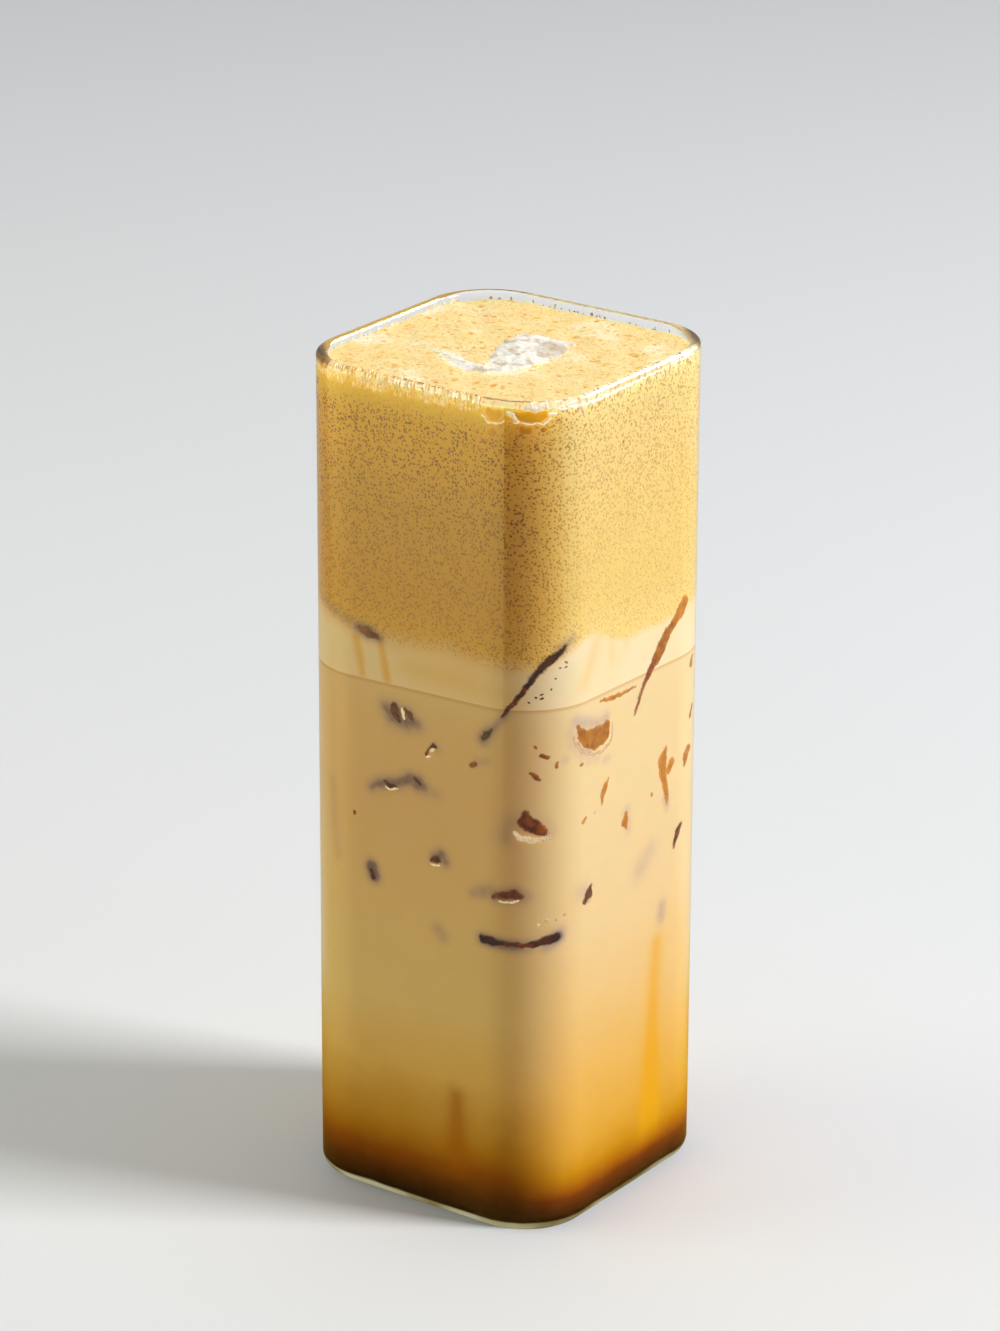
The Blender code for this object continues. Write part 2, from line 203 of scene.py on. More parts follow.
# Grey-mauve shade where ice lies just behind the milky drink: strength, softness of its edge and a stroke
SHADE_TRACES = (
    (0.85, 0.6, ((-33.2, 103.5, 0.9), (-31.2, 102.4, 2.0), (-28.3, 102.0, 2.0), (-25.9, 101.5, 1.0))),
    (0.35, 0.4, dot(-21.4, 97.7, 0.7)),
    (0.35, 0.3, ((-11.7, 97.1, 0.4), (-9.2, 97.9, 0.2))),
    (0.70, 0.3, ((-5.7, 108.1, 0.4), (-7.1, 106.2, 0.4), (-8.4, 104.5, 0.5))),
    (0.75, 0.4, ((-8.8, 104.2, 0.7), (-10.2, 102.3, 1.1))),
    (0.85, 0.5, ((-36.7, 86.2, 0.4), (-35.1, 87.1, 0.7), (-32.7, 87.8, 1.0), (-30.1, 88.6, 0.9),
                 (-27.3, 90.0, 1.1), (-25.7, 89.6, 1.5), (-24.2, 89.0, 0.9))),
    (0.40, 0.5, ((-23.9, 89.0, 0.9), (-21.1, 88.2, 0.4))),
    (0.95, 0.4, ((-36.6, 69.4, 1.2), (-36.1, 67.8, 1.2))),
    (0.75, 0.4, ((-21.6, 75.0, 0.9), (-20.1, 75.7, 1.3), (-19.0, 74.8, 0.7))),
    (0.55, 0.4, ((-12.6, 70.0, 0.5), (-10.3, 70.9, 1.0), (-8.6, 71.3, 1.0))),
    (0.75, 0.4, ((-7.5, 70.6, 1.0), (-3.8, 71.3, 1.4), (-1.8, 71.0, 0.8))),
    (0.50, 0.5, ((-20.9, 60.3, 0.7), (-19.7, 59.2, 0.8))),
    (0.85, 0.35, ((-10.2, 61.1, 1.0), (-6.8, 60.8, 0.9), (-2.2, 60.7, 0.9), (1.4, 61.0, 1.3),
                  (3.7, 62.2, 1.2))),
    (0.50, 0.4, ((3.7, 62.3, 1.0), (4.4, 63.2, 0.7))),
    (0.30, 0.3, ((10.7, 96.2, 0.4), (10.9, 96.1, 0.4))),
    (0.30, 0.3, dot(5.1, 98.3, 0.4)),
    (0.30, 0.3, ((16.1, 94.9, 0.3), (17.5, 94.8, 0.3))),
    (0.45, 0.8, ((-4.8, 85.8, 1.0), (-5.5, 83.1, 1.2))),
    (0.35, 0.4, ((0.9, 86.1, 0.7), (2.4, 84.1, 0.7))),
    (0.32, 0.8, ((32.5, 70.9, 1.0), (30.6, 69.3, 1.6), (28.6, 67.8, 1.6))),
    (0.30, 0.7, ((9.3, 70.1, 1.2), (9.5, 70.1, 1.2))),
    (0.50, 0.5, ((36.7, 57.4, 0.8), (36.5, 55.3, 1.0))),
    (0.30, 0.4, ((23.9, 81.7, 0.9), (24.7, 77.7, 0.6))),
    (0.40, 0.3, ((37.4, 79.9, 0.8), (38.0, 77.8, 0.4))),
    (0.50, 0.4, ((7.5, 105.4, 0.8), (10.4, 104.2, 0.9), (14.2, 103.0, 0.6), (16.6, 103.4, 0.6))),
    (0.30, 0.4, ((6.4, 103.6, 0.7), (6.8, 101.0, 0.9), (9.3, 98.1, 0.8), (13.8, 96.2, 0.7))),
    (0.50, 0.3, ((-50.5, 121.3, 0.5), (-46.7, 120.7, 0.6), (-44.3, 119.7, 0.6), (-41.9, 118.9, 0.7),
                 (-39.9, 118.4, 0.8))),
    (0.85, 0.35, ((-39.9, 118.3, 0.8), (-37.4, 117.8, 1.3), (-34.6, 117.1, 0.7))),
    (0.60, 0.35, ((6.4, 122.5, 0.4), (4.8, 121.4, 0.8), (3.7, 120.6, 1.0))),
    (0.25, 0.5, ((-46.5, 84.9, 0.3), (-45.9, 77.1, 0.4), (-45.1, 69.6, 0.3))),
)

# Froth's tone beside the ice and at the near corner
PALE_TONE = 1.1
# The white tone also draws the painted highlight along the rim, which glows
WHITE_TONE = 2.0

# Pale froth along the lower edge of some of the ice
FROTH_TRACES = (
    ((6.9, 102.4, 0.18), (7.3, 100.7, 0.22), (9.0, 98.7, 0.22), (12.3, 97.2, 0.22), (15.7, 96.9, 0.24),
     (17.9, 97.9, 0.26), (18.8, 99.4, 0.26), (18.6, 101.6, 0.2)),
    ((7.9, 101.0, 0.45), (9.2, 99.5, 0.50), (11.6, 98.1, 0.30)),
    ((-4.1, 84.2, 0.4), (-3.2, 83.2, 0.7), (-1.6, 82.8, 0.75), (0.2, 82.7, 0.6), (1.8, 82.7, 0.6),
     (2.3, 83.7, 0.3)),
    ((-29.4, 103.9, 0.30), (-29.1, 103.1, 0.35), (-28.7, 102.1, 0.30)),
    ((-22.3, 96.9, 0.3), (-21.9, 97.2, 0.3)),
    ((-23.3, 95.4, 0.20), (-22.9, 95.6, 0.20)),
    ((-33.1, 87.0, 0.15), (-31.8, 86.6, 0.17), (-30.5, 87.3, 0.15)),
    ((-22.6, 73.5, 0.15), (-20.5, 73.7, 0.18)),
    ((-6.8, 69.7, 0.15), (-4.8, 69.6, 0.18), (-3.3, 70.3, 0.15)),
    ((12.4, 68.6, 0.2), (11.8, 67.2, 0.2), (10.6, 67.0, 0.2)),
    ((13.0, 85.1, 0.25), (13.2, 85.0, 0.25)),
    ((1.7, 66.0, 0.35), (1.9, 65.9, 0.35)),
    dot(3.5, 65.8, 0.25),
    dot(5.2, 66.5, 0.25),
    dot(0.1, 65.1, 0.30),
    ((33.6, 110.1, 0.25), (33.8, 110.4, 0.20)),
    ((35.5, 113.2, 0.20), (35.7, 112.7, 0.20)),
)

# Amber stains where syrup runs up into the coffee: strength and a stroke
SYRUP_STAINS = (
    (0.65, ((-15.8, 10.0, 0.8), (-16.2, 19.0, 0.6), (-16.3, 26.0, 0.1))),
    (0.75, ((33.2, 9.0, 2.4), (33.6, 24.0, 1.5), (34.2, 40.0, 0.4), (35.0, 50.0, 0.1))),
)

# Golden streaks and duller patches in the cream: strength, softness of the edge and a stroke
CREAM_STREAKS = (
    (0.85, 0.25, ((-40.1, 115.9, 0.9), (-39.2, 112.0, 0.9), (-38.7, 108.9, 0.7))),
    (0.95, 0.25, ((-34.3, 116.3, 0.5), (-33.6, 113.2, 0.9), (-32.8, 109.1, 1.0))),
    (0.50, 1.20, ((-28.5, 112.8, 1.6), (-22.5, 112.8, 2.6), (-12.7, 112.8, 3.4), (-7.0, 112.0, 3.0))),
    (0.45, 0.80, ((13.0, 119.5, 1.0), (9.5, 112.5, 0.8))),
    (0.40, 0.60, ((18.0, 121.0, 0.5), (18.4, 114.5, 0.3))),
    (0.35, 0.60, ((23.0, 120.5, 0.4), (23.3, 116.0, 0.3))),
)

# The card on the shady side: its two ends, its height, where it grows bright, its distance and its brightness
CARD_LEFT = -0.40
CARD_RIGHT = 0.0140
CARD_TOP = 0.160
CARD_DIM = 0.012
CARD_BRIGHT = 0.190
CARD_AWAY = 0.10
CARD_RADIANCE = 2.9
CARD_COLOUR = (1.0, 0.88, 0.34)

# The world: its look, and its light on all else
BACKDROP = (0.68, 0.70, 0.71, 1.0)
AMBIENT = (0.85, 0.93, 1.0, 1.0)
AMBIENT_STRENGTH = 0.11

# How far light strays inside the milky drink, for red, green and blue
SCATTER = (0.80, 0.64, 0.40)
SCATTER_REACH = 0.0050

# How strongly the sunny side is lit: colours as seen are divided by this
SUNNY_LIGHT = 1.04
FOAM_LIGHT = 0.94 * SUNNY_LIGHT

# The coffee's colour by height in millimetres, on the sunny sides and on the shady ones; the shady ramp,
# darker at each height, is painted shade
HEIGHT_SPAN = 90.0
SUNNY_COFFEE = (
    (2, (44, 10, 2)), (4, (78, 24, 2)), (6, (124, 49, 2)), (8, (183, 106, 2)), (11, (216, 154, 16)),
    (15, (236, 177, 58)), (20, (244, 192, 84)), (30, (250, 204, 114)), (45, (250, 214, 144)),
    (60, (251, 223, 170)), (85, (252, 228, 178)),
)
SHADY_COFFEE = (
    (2, (32, 8, 3)), (4, (46, 15, 4)), (6, (80, 34, 3)), (8, (114, 54, 3)), (11, (158, 84, 8)),
    (15, (196, 134, 28)), (20, (220, 171, 72)), (30, (246, 211, 130)), (45, (252, 224, 153)),
    (60, (251, 221, 157)), (85, (246, 211, 152)),
)

# The foam's colour by its share of the way up, and its tints on the shady side from low to high, which paint
# the shade there
FOAM_FOOT = 118.0
FOAM_SPAN = 50.0
GOLD = (
    (0.00, (250, 222, 142)), (0.20, (243, 216, 134)), (0.50, (241, 216, 137)), (0.76, (243, 219, 148)),
    (0.88, (245, 222, 152)), (0.95, (251, 230, 160)), (0.99, (253, 238, 184)),
)
FOAM_PAINTED_SHADE_LOW = (0.81, 0.57, 0.11)
FOAM_PAINTED_SHADE_HIGH = (0.98, 0.70, 0.06)
FOAM_PAINTED_SHADE_RIM = (1.18, 0.88, 0.14)
# Painted light and shade: a tint where a sunny face turns into a shady one round the corners
FOAM_PAINTED_LIGHT_TO_SHADE = (1.0, 0.96, 0.76)
FOAM_TINT_SIDE = (1.04, 1.03, 0.99)
# Painted shade on the cream's shady faces
CREAM_PAINTED_SHADE = (1.0, 0.93, 0.90)
BUBBLE_TINT = (0.42, 0.22, 0.05)
PORE_TINT = (0.80, 0.48, 0.16)

# Ice and froth, by tone
ICE_COLOURS = (
    (0.00, (52, 20, 10)), (0.25, (102, 38, 2)), (0.50, (156, 76, 2)), (0.75, (186, 120, 2)),
    (0.88, (200, 128, 4)), (1.00, (216, 140, 34)),
)
FROTH_COLOURS = (
    (0.00, (58, 36, 14)), (0.10, (150, 98, 34)), (0.25, (244, 190, 80)), (0.38, (252, 220, 136)),
    (0.50, (252, 232, 190)), (1.00, (255, 250, 238)),
)
BEHIND_MILK = (0.48, 0.44, 1.0)
CLOSE_BEHIND_MILK = (0.17, 0.095, 0.085)
FROTH_HOLLOW_TINT = (0.78, 0.66, 0.55)
# Painted shade: the froth is darker on the sunny faces
FROTH_SUNNY_PAINTED_SHADE = (0.76, 0.66, 0.66)

# Small dots in a material: cells to the metre, the random value below which a cell has no dot,
# the one above which it has a full one, and the dot's radius in cells
FINE_DOTS = (1700, 0.10, 0.30, 0.48)
MIDDLE_DOTS = (1080, 0.35, 0.55, 0.32)
LARGE_DOTS = (700, 0.60, 0.68, 0.26)
TOP_PORES = (1300, 0.25, 0.5, 0.40)
TOP_HOLES = (520, 0.66, 0.76, 0.28)
MILK_PORES = (1500, 0.5, 0.6, 0.32)

# The glass and the floor under it
GLASS_TINT = (0.985, 0.992, 0.985)
# Painted dark reflections at the two rim corners where x and y share a sign
RIM_END_PAINTED_REFLECTION = (0.30, 0.21, 0.10)
RIM_TOP_PAINTED_REFLECTION = (0.05, 0.03, 0.012)
GLASS_SHADOW = (0.97, 0.975, 0.97)
FLOOR_PALE = (0.748, 0.764, 0.796)
FLOOR_WARM = (0.48, 0.34, 0.17)
FLOOR_MIRRORED_NEAR = (0.42, 0.24, 0.03)
FLOOR_MIRRORED_FAR = (0.53, 0.53, 0.48)

# The camera stands where the photograph was taken from
CAMERA_PLACE = Vector((0.55503, -0.77892, 0.47062))
CAMERA_AZIMUTH = 35.56
CAMERA_ELEVATION = 20.94
CAMERA_ROLL = 0.238
CAMERA_LENS = 142.77
CAMERA_FILM = 36.0


def linear(channel):
    """A colour channel from 0 to 255, as seen, turned into linear light."""
    value = channel / 255
    return value / 12.92 if value <= 0.04045 else ((value + 0.055) / 1.055) ** 2.4


def seen(red, green, blue, light=SUNNY_LIGHT):
    """A colour given as it is seen under that much light."""
    return tuple(linear(channel) / light for channel in (red, green, blue))


# The drink's surfaces

def syrup_surface(x, y):
    return SYRUP_LEVEL + SYRUP_TILT * (x + y) / 2


def coffee_surface(x, y):
    return COFFEE_LEVEL - COFFEE_SADDLE * 2 * x * y / DRINK_HALF ** 2


def cream_surface(x, y):
    turn = 2 * math.pi / CREAM_SWELL_LENGTH
    height = CREAM_LEVEL + CREAM_SWELL * np.sin(x * turn) * np.cos(y * turn)
    for crest_x, crest_y, rise, radius in CREAM_CRESTS:
        height = height + rise * np.exp(-((x - crest_x) ** 2 + (y - crest_y) ** 2) / radius ** 2)
    return height


def foam_surface(x, y):
    turn = 2 * math.pi / FOAM_SWELL_LENGTH
    swell = np.sin(x * turn + 0.6) * np.cos(y * turn * 0.8) + 0.6 * np.sin((x + y) * turn * 1.7)
    return FOAM_LEVEL + FOAM_SWELL * swell


# Places along the wall

def wall_point(run, offset):
    """The point that lies that far along the inside of the glass, moved outwards by the offset."""
    quarter = np.floor((run + QUARTER_RUN / 2) / QUARTER_RUN)
    local = run - quarter * QUARTER_RUN
    beyond = np.clip(local, -CORNER_RUN / 2, CORNER_RUN / 2)
    angle = -math.pi / 4 + beyond / INNER_CORNER_RADIUS
    radius = INNER_CORNER_RADIUS + offset
    rest = local - beyond
    x = STRAIGHT + radius * np.cos(angle) + np.where(rest < 0, rest, 0)
    y = -STRAIGHT + radius * np.sin(angle) + np.where(rest > 0, rest, 0)
    cosine = np.round(np.cos(quarter * math.pi / 2))
    sine = np.round(np.sin(quarter * math.pi / 2))
    return x * cosine - y * sine, x * sine + y * cosine


def stroke_distance(run, height, points):
    """Distance to the edge of a stroke, negative inside it, in the stroke's own unit."""
    nearest = np.full(np.shape(run), 1e9)
    for (run_a, height_a, radius_a), (run_b, height_b, radius_b) in zip(points, points[1:]):
        along_run = run_b - run_a
        along_height = height_b - height_a
        share = (run - run_a) * along_run + (height - height_a) * along_height
        share = np.clip(share / (along_run ** 2 + along_height ** 2), 0, 1)
        away = np.hypot(run - run_a - share * along_run, height - height_a - share * along_height)
        nearest = np.minimum(nearest, away - radius_a - share * (radius_b - radius_a))
    return nearest


def wavy(run, height, reach):
    """Places in millimetres, pushed about a little so that edges are not too even."""
    along = reach * np.sin(2.3 * height + 0.9 * run) + 0.5 * reach * np.sin(5.1 * height - 3.7 * run)
    up = reach * np.sin(2.6 * run - 1.1 * height) + 0.5 * reach * np.sin(4.3 * run + 4.9 * height)
    return run + along, height + up


def mirrored(points, drop):
    """A stroke's like on the two hidden faces."""
    half_way = WHOLE_RUN / 2 / MM
    return tuple((half_way - run, height + drop, radius) for run, height, radius in points)


# The hidden traces lie up to this far higher or lower than the ones seen; the high ones keep near their place
LOW_TRACES_SHIFT = 6
HIGH_TRACES_SHIFT = 1
HIGH_TRACES_FROM = 92


def with_hidden(traces):
    """The traces of the two faces seen and, at other heights, of the two hidden ones."""
    made = []
    for *values, points in traces:
        shift = LOW_TRACES_SHIFT if points[0][1] < HIGH_TRACES_FROM else HIGH_TRACES_SHIFT
        drop = RNG.uniform(-shift, shift)
        made.append((*values, points))
        made.append((*values, mirrored(points, drop)))
    return made


def grain(tone, run, height, size):
    """The smallest mark, with its tone."""
    return (tone, dot(run, height, size, 0.06))


def specks():
    """Tiny dark grains of coffee beside the long dark trace."""
    made = []
    for _ in range(12):
        share = RNG.uniform(0.1, 0.8) ** 0.7
        run = 5.6 - 9.5 * share + RNG.uniform(0.5, 2.4)
        height = 120.6 - 11.5 * share - RNG.uniform(-0.4, 1.2)
        made.append(grain(0.25, run, height, RNG.uniform(0.03, 0.09)))
    return made


def small_bubbles():
    """Small brown bubbles among the larger ones at the near corner."""
    made = []
    for _ in range(80):
        run = RNG.gauss(0.0, 5.5)
        height = 166.6 - abs(RNG.gauss(0, 5.0))
        made.append(grain(RNG.uniform(0.0, 0.35), run, height, RNG.uniform(0.10, 0.20)))
    return made


# Stretches of the wall where froth has run down, with the number of drips in each, and their tones
DRIP_STRETCHES = ((-56.0, -11.0, 420), (4.0, 10.0, 14), (10.0, 44.0, 60), (58.0, 148.0, 160))
DRIP_TONES = (0.45, 0.55, 0.70, 0.85, 1.0, 1.3)
DRIP_TOP = 168.9


def drips():
    """Golden froth that has run down the glass under its rim, thickest on the shady face."""
    made = []
    for low, high, count in DRIP_STRETCHES:
        for _ in range(count):
            run = RNG.uniform(low, high)
            foot = RNG.uniform(166.2, 168.2)
            head = foot + RNG.uniform(0.3, 1.2)
            width = RNG.uniform(0.07, 0.18)
            tone = RNG.choice(DRIP_TONES)
            end = (run + RNG.uniform(-0.2, 0.2), min(head, DRIP_TOP), width)
            made.append((tone, ((run, foot, width * 0.6), end)))
    return made


def dried_drops():
    """Dark brown flecks under the rim and down the shady corner."""
    made = []
    for _ in range(46):
        run = RNG.uniform(7.0, 47.0)
        made.append(grain(0.0, run, RNG.uniform(168.9, 169.3), RNG.uniform(0.07, 0.15)))
    for _ in range(60):
        height = 168.4 - RNG.uniform(0, 1) ** 1.5 * 20
        made.append(grain(0.0, RNG.gauss(-52.2, 0.5), height, RNG.uniform(0.06, 0.12)))
    for _ in range(20):
        run = RNG.uniform(60.0, 148.0)
        made.append(grain(0.15, run, RNG.uniform(167.5, 168.6), RNG.uniform(0.06, 0.10)))
    return made


ALL_ICE = with_hidden(ICE_TRACES) + specks()
ALL_SHADE = with_hidden(SHADE_TRACES)
ALL_FROTH = with_hidden([(points,) for points in FROTH_TRACES])
ALL_STAINS = with_hidden(SYRUP_STAINS)
ALL_STREAKS = with_hidden(CREAM_STREAKS)


# Meshes

THROWS_NO_SHADOW = ("sunk_ice", "pale_froth", "corner_froth_and_highlight", "foam_bubbles", "milk_foam")
OUTWARDS = np.linspace(0.1, 0.9, 9)
INWARDS = np.linspace(0.9, 0.1, 9)


def set_values(mesh, attributes):
    """Numbers that the materials read, one for each vertex."""
    for label, values in attributes.items():
        layer = mesh.attributes.new(label, "FLOAT", "POINT")
        layer.data.foreach_set("value", np.asarray(values, dtype=np.float32))


def make_piece(name, points, faces, material, nodes=(), attributes=None):
    """One piece of the model, riding on the glass."""
    mesh = bpy.data.meshes.new(name)
    mesh.from_pydata([tuple(point) for point in points], [], faces)
    mesh.shade_smooth()
    mesh.set_sharp_from_angle(angle=math.radians(50))
    set_values(mesh, attributes or {})
    mesh.materials.append(material)
    mesh.update()
    piece = bpy.data.objects.new(name, mesh)
    bpy.context.scene.collection.objects.link(piece)
    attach(piece, "root")
    if nodes:
        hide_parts(*nodes)
    piece.visible_shadow = name not in THROWS_NO_SHADOW
    return piece


def ring_faces(rings, columns):
    """Faces of a skin made of equal rings, whose ends close onto one point each, listed after the rings."""
    grid = np.arange(rings * columns).reshape(rings, columns)
    after = np.roll(grid, -1, axis=1)
    faces = np.stack([grid[:-1], after[:-1], after[1:], grid[1:]], axis=-1).reshape(-1, 4).tolist()
    first = rings * columns
    faces += [(int(after[0, index]), int(grid[0, index]), first) for index in range(columns)]
    faces += [(int(grid[-1, index]), int(after[-1, index]), first + 1) for index in range(columns)]
    return faces


def layer_rings(floor_shares, floor, side_shares, surface, surface_shares):
    """Rings of one layer: out from the middle of its floor, up its side and in to the middle of its top."""
    x, y = wall_point(COLUMN_RUNS, INTO_GLASS)
    low = floor(x, y)
    high = surface(x, y)
    rings = []
    for share in floor_shares:
        rings.append((x * share, y * share, floor(x * share, y * share)))
    for share in side_shares:
        rings.append((x, y, low + (high - low) * share))
    for share in surface_shares:
        rings.append((x * share, y * share, surface(x * share, y * share)))
    return np.array(rings).transpose(0, 2, 1)


# The mask for painted light and shade: colours mixed by it take a lit copy on the faces turned to the sun and
# a painted shaded one on the others
def sunlit(x, y):
    """1 on the two faces turned to the sun, 0 on the two shady ones, and between round two corners."""
    corner_x = np.clip(np.abs(x) - STRAIGHT, 0, None)
    corner_y = np.clip(np.abs(y) - STRAIGHT, 0, None)
    outward_x = np.where(corner_x + corner_y > 0, np.sign(x) * corner_x, 0)
    outward_y = np.where(corner_x + corner_y > 0, np.sign(y) * corner_y, 0)
    length = np.maximum(np.hypot(outward_x, outward_y), 1e-9)
    return np.clip(0.5 + 0.85 * (outward_x + outward_y) / length, 0, 1)


# Only the outermost part of each layer is painted; shades and stains fade out over these lengths
PAINTED_FROM = 0.024
PAINTED_FADE = 0.003
SHADE_GROWTH = 0.35
STAIN_REACH = 2.0
STAIN_FALL = 1.6


def paint(points):
    """What the drink's materials read at each point of its surface."""
    x, y, z = points.T
    size = np.maximum(np.abs(x), np.abs(y))
    edge = np.clip((size - PAINTED_FROM) / PAINTED_FADE, 0, 1)
    run = run_of(x, y) / MM
    height = z / MM
    shifted_run, shifted_height = wavy(run, height, 0.08)
    shade = np.zeros(len(x))
    for strength, softness, stroke in ALL_SHADE:
        away = stroke_distance(run, height, stroke) - SHADE_GROWTH
        shade = np.maximum(shade, strength / (1 + np.exp(away / softness)))
    stain = np.zeros(len(x))
    for strength, stroke in ALL_STAINS:
        away = np.maximum(stroke_distance(shifted_run, shifted_height, stroke), 0)
        stain = np.maximum(stain, strength * np.exp(-(away / STAIN_REACH) ** STAIN_FALL))
    streak = np.zeros(len(x))
    for strength, softness, stroke in ALL_STREAKS:
        away = stroke_distance(run, height, stroke)
        streak = np.maximum(streak, strength / (1 + np.exp(away / softness)))
    return {
        "shade": shade * edge,
        "stain": stain * edge,
        "streak": streak * edge,
        "sunny": sunlit(x, y),
        "above_coffee": (z - coffee_surface(x, y)) / MM,
        "above_cream": (z - cream_surface(x, y)) / MM,
        "height": height,
        "wall_run": run,
    }


def run_of(x, y):
    """How far along the inside of the glass the nearest point of the wall lies."""
    quarter = np.round((np.arctan2(y, x) + math.pi / 4) / (math.pi / 2))
    cosine = np.cos(quarter * math.pi / 2)
    sine = np.sin(quarter * math.pi / 2)
    turned_x = x * cosine + y * sine
    turned_y = y * cosine - x * sine
    angle = np.arctan2(turned_y + STRAIGHT, turned_x - STRAIGHT)
    in_corner = (turned_x > STRAIGHT) & (turned_y < -STRAIGHT)
    on_right = turned_y >= -STRAIGHT
    local = np.where(
        in_corner,
        (angle + math.pi / 4) * INNER_CORNER_RADIUS,
        np.where(on_right, CORNER_RUN / 2 + turned_y + STRAIGHT, -CORNER_RUN / 2 + turned_x - STRAIGHT),
    )
    run = quarter * QUARTER_RUN + local
    return np.mod(run + WHOLE_RUN / 2, WHOLE_RUN) - WHOLE_RUN / 2


def make_layer(name, material, rings, centres):
    points = np.concatenate([rings.reshape(-1, 3), np.array(centres)])
    faces = ring_faces(len(rings), COLUMNS)
    return make_piece(name + "_look", points, faces, material, (name,), paint(points))


def make_plain_layer(name, material, floor, side_shares, surface):
    rings = layer_rings(OUTWARDS, floor, side_shares, surface, INWARDS)
    make_layer(name, material, rings, ((0, 0, floor(0, 0)), (0, 0, surface(0, 0))))


def make_syrup(material):
    """The lowest layer, round where the glass's floor turns up into its walls."""
    floor_height = FLOOR_THICKNESS - INTO_GLASS
    edge_radius = FLOOR_EDGE_RADIUS + INTO_GLASS
    rings = []
    inset_x, inset_y = wall_point(COLUMN_RUNS, INTO_GLASS - edge_radius)
    for share in OUTWARDS:
        rings.append((inset_x * share, inset_y * share, np.full(COLUMNS, floor_height)))
    for angle in np.radians(np.linspace(-90, 0, 9)):
        x, y = wall_point(COLUMN_RUNS, INTO_GLASS - edge_radius * (1 - math.cos(angle)))
        rings.append((x, y, np.full(COLUMNS, floor_height + edge_radius * (1 + math.sin(angle)))))
    x, y = wall_point(COLUMN_RUNS, INTO_GLASS)
    low = rings[-1][2]
    for share in np.linspace(0.1, 1, 12):
        rings.append((x, y, low + (syrup_surface(x, y) - low) * share))
    for share in INWARDS:
        rings.append((x * share, y * share, syrup_surface(x * share, y * share)))
    rings = np.array(rings).transpose(0, 2, 1)
    centres = ((0, 0, floor_height), (0, 0, syrup_surface(0, 0)))
    make_layer("syrup_layer", material, rings, centres)


def make_coffee(material):
    fine_from = 0.47
    shares = np.concatenate([np.linspace(0, fine_from, 50)[:-1], np.linspace(fine_from, 1, 108)])
    make_plain_layer("coffee_layer", material, syrup_surface, shares, coffee_surface)


def make_cream(material):
    make_plain_layer("cream_layer", material, coffee_surface, np.linspace(0, 1, 22), cream_surface)


# An open bubble's pit and lip, and how far the foam climbs beside the wall
PIT_DEPTH = 0.35
LIP_HEIGHT = 0.00012
LIP_WIDTH = 0.00035
CLIMB = 0.00025
CLIMB_REACH = 0.0006


def foam_relief(x, y):
    """The foam's uneven top: three sizes of swell."""
    relief = np.empty(x.shape)
    for index in np.ndindex(relief.shape):
        place = Vector((x[index], y[index], 0)) / MM
        swell = 0.10 * noise.noise(place * 0.35) + 0.06 * noise.noise(place * 1.1)
        relief[index] = swell + 0.03 * noise.noise(place * 2.6)
    return relief * MM


def make_foam(material):
    """The foam, with pits where bubbles have opened on its uneven top."""
    side_shares = np.concatenate([np.linspace(0, 0.88, 80)[:-1], np.linspace(0.88, 1, 24)])
    rim_shares = np.array([0.997, 0.99])
    surface_shares = np.concatenate([rim_shares, np.linspace(0.98, 0.02, 62)])
    floor_shares = np.linspace(0.1, 0.9, 5)
    rings = layer_rings(floor_shares, cream_surface, side_shares, foam_surface, surface_shares)
    x, y, z = rings.transpose(2, 0, 1)
    top_from = len(floor_shares) + len(side_shares)

    pool = np.zeros(x.shape)
    for bubble in TOP_BUBBLES:
        centre_x, centre_y, size = (value * MM for value in bubble)
        away = np.hypot(x[top_from:] - centre_x, y[top_from:] - centre_y)
        pit = np.sqrt(np.clip(size ** 2 - away ** 2, 0, None))
        lip = LIP_HEIGHT * np.exp(-((away - size) / LIP_WIDTH) ** 2)
        z[top_from:] += lip - PIT_DEPTH * pit
        pool[top_from:] = np.maximum(pool[top_from:], np.clip(1.5 - 1.5 * away / size, 0, 1))

    near_wall = np.exp(-(1 - surface_shares) * DRINK_HALF / CLIMB_REACH)[:, None]
    relief = foam_relief(x[top_from:], y[top_from:])
    z[top_from:] += relief * (1 - 0.6 * near_wall) + CLIMB * near_wall
    rings = np.stack([x, y, z], axis=-1)
    centres = ((0, 0, cream_surface(0, 0)), (0, 0, foam_surface(0, 0)))
    foam = make_layer("foam_layer", material, rings, centres)
    on_top = np.zeros(len(foam.data.vertices))
    on_top[top_from * COLUMNS:] = 1
    on_top[-2] = 0
    set_values(foam.data, {"on_top": on_top, "pool": np.concatenate([pool.reshape(-1), np.zeros(2)])})


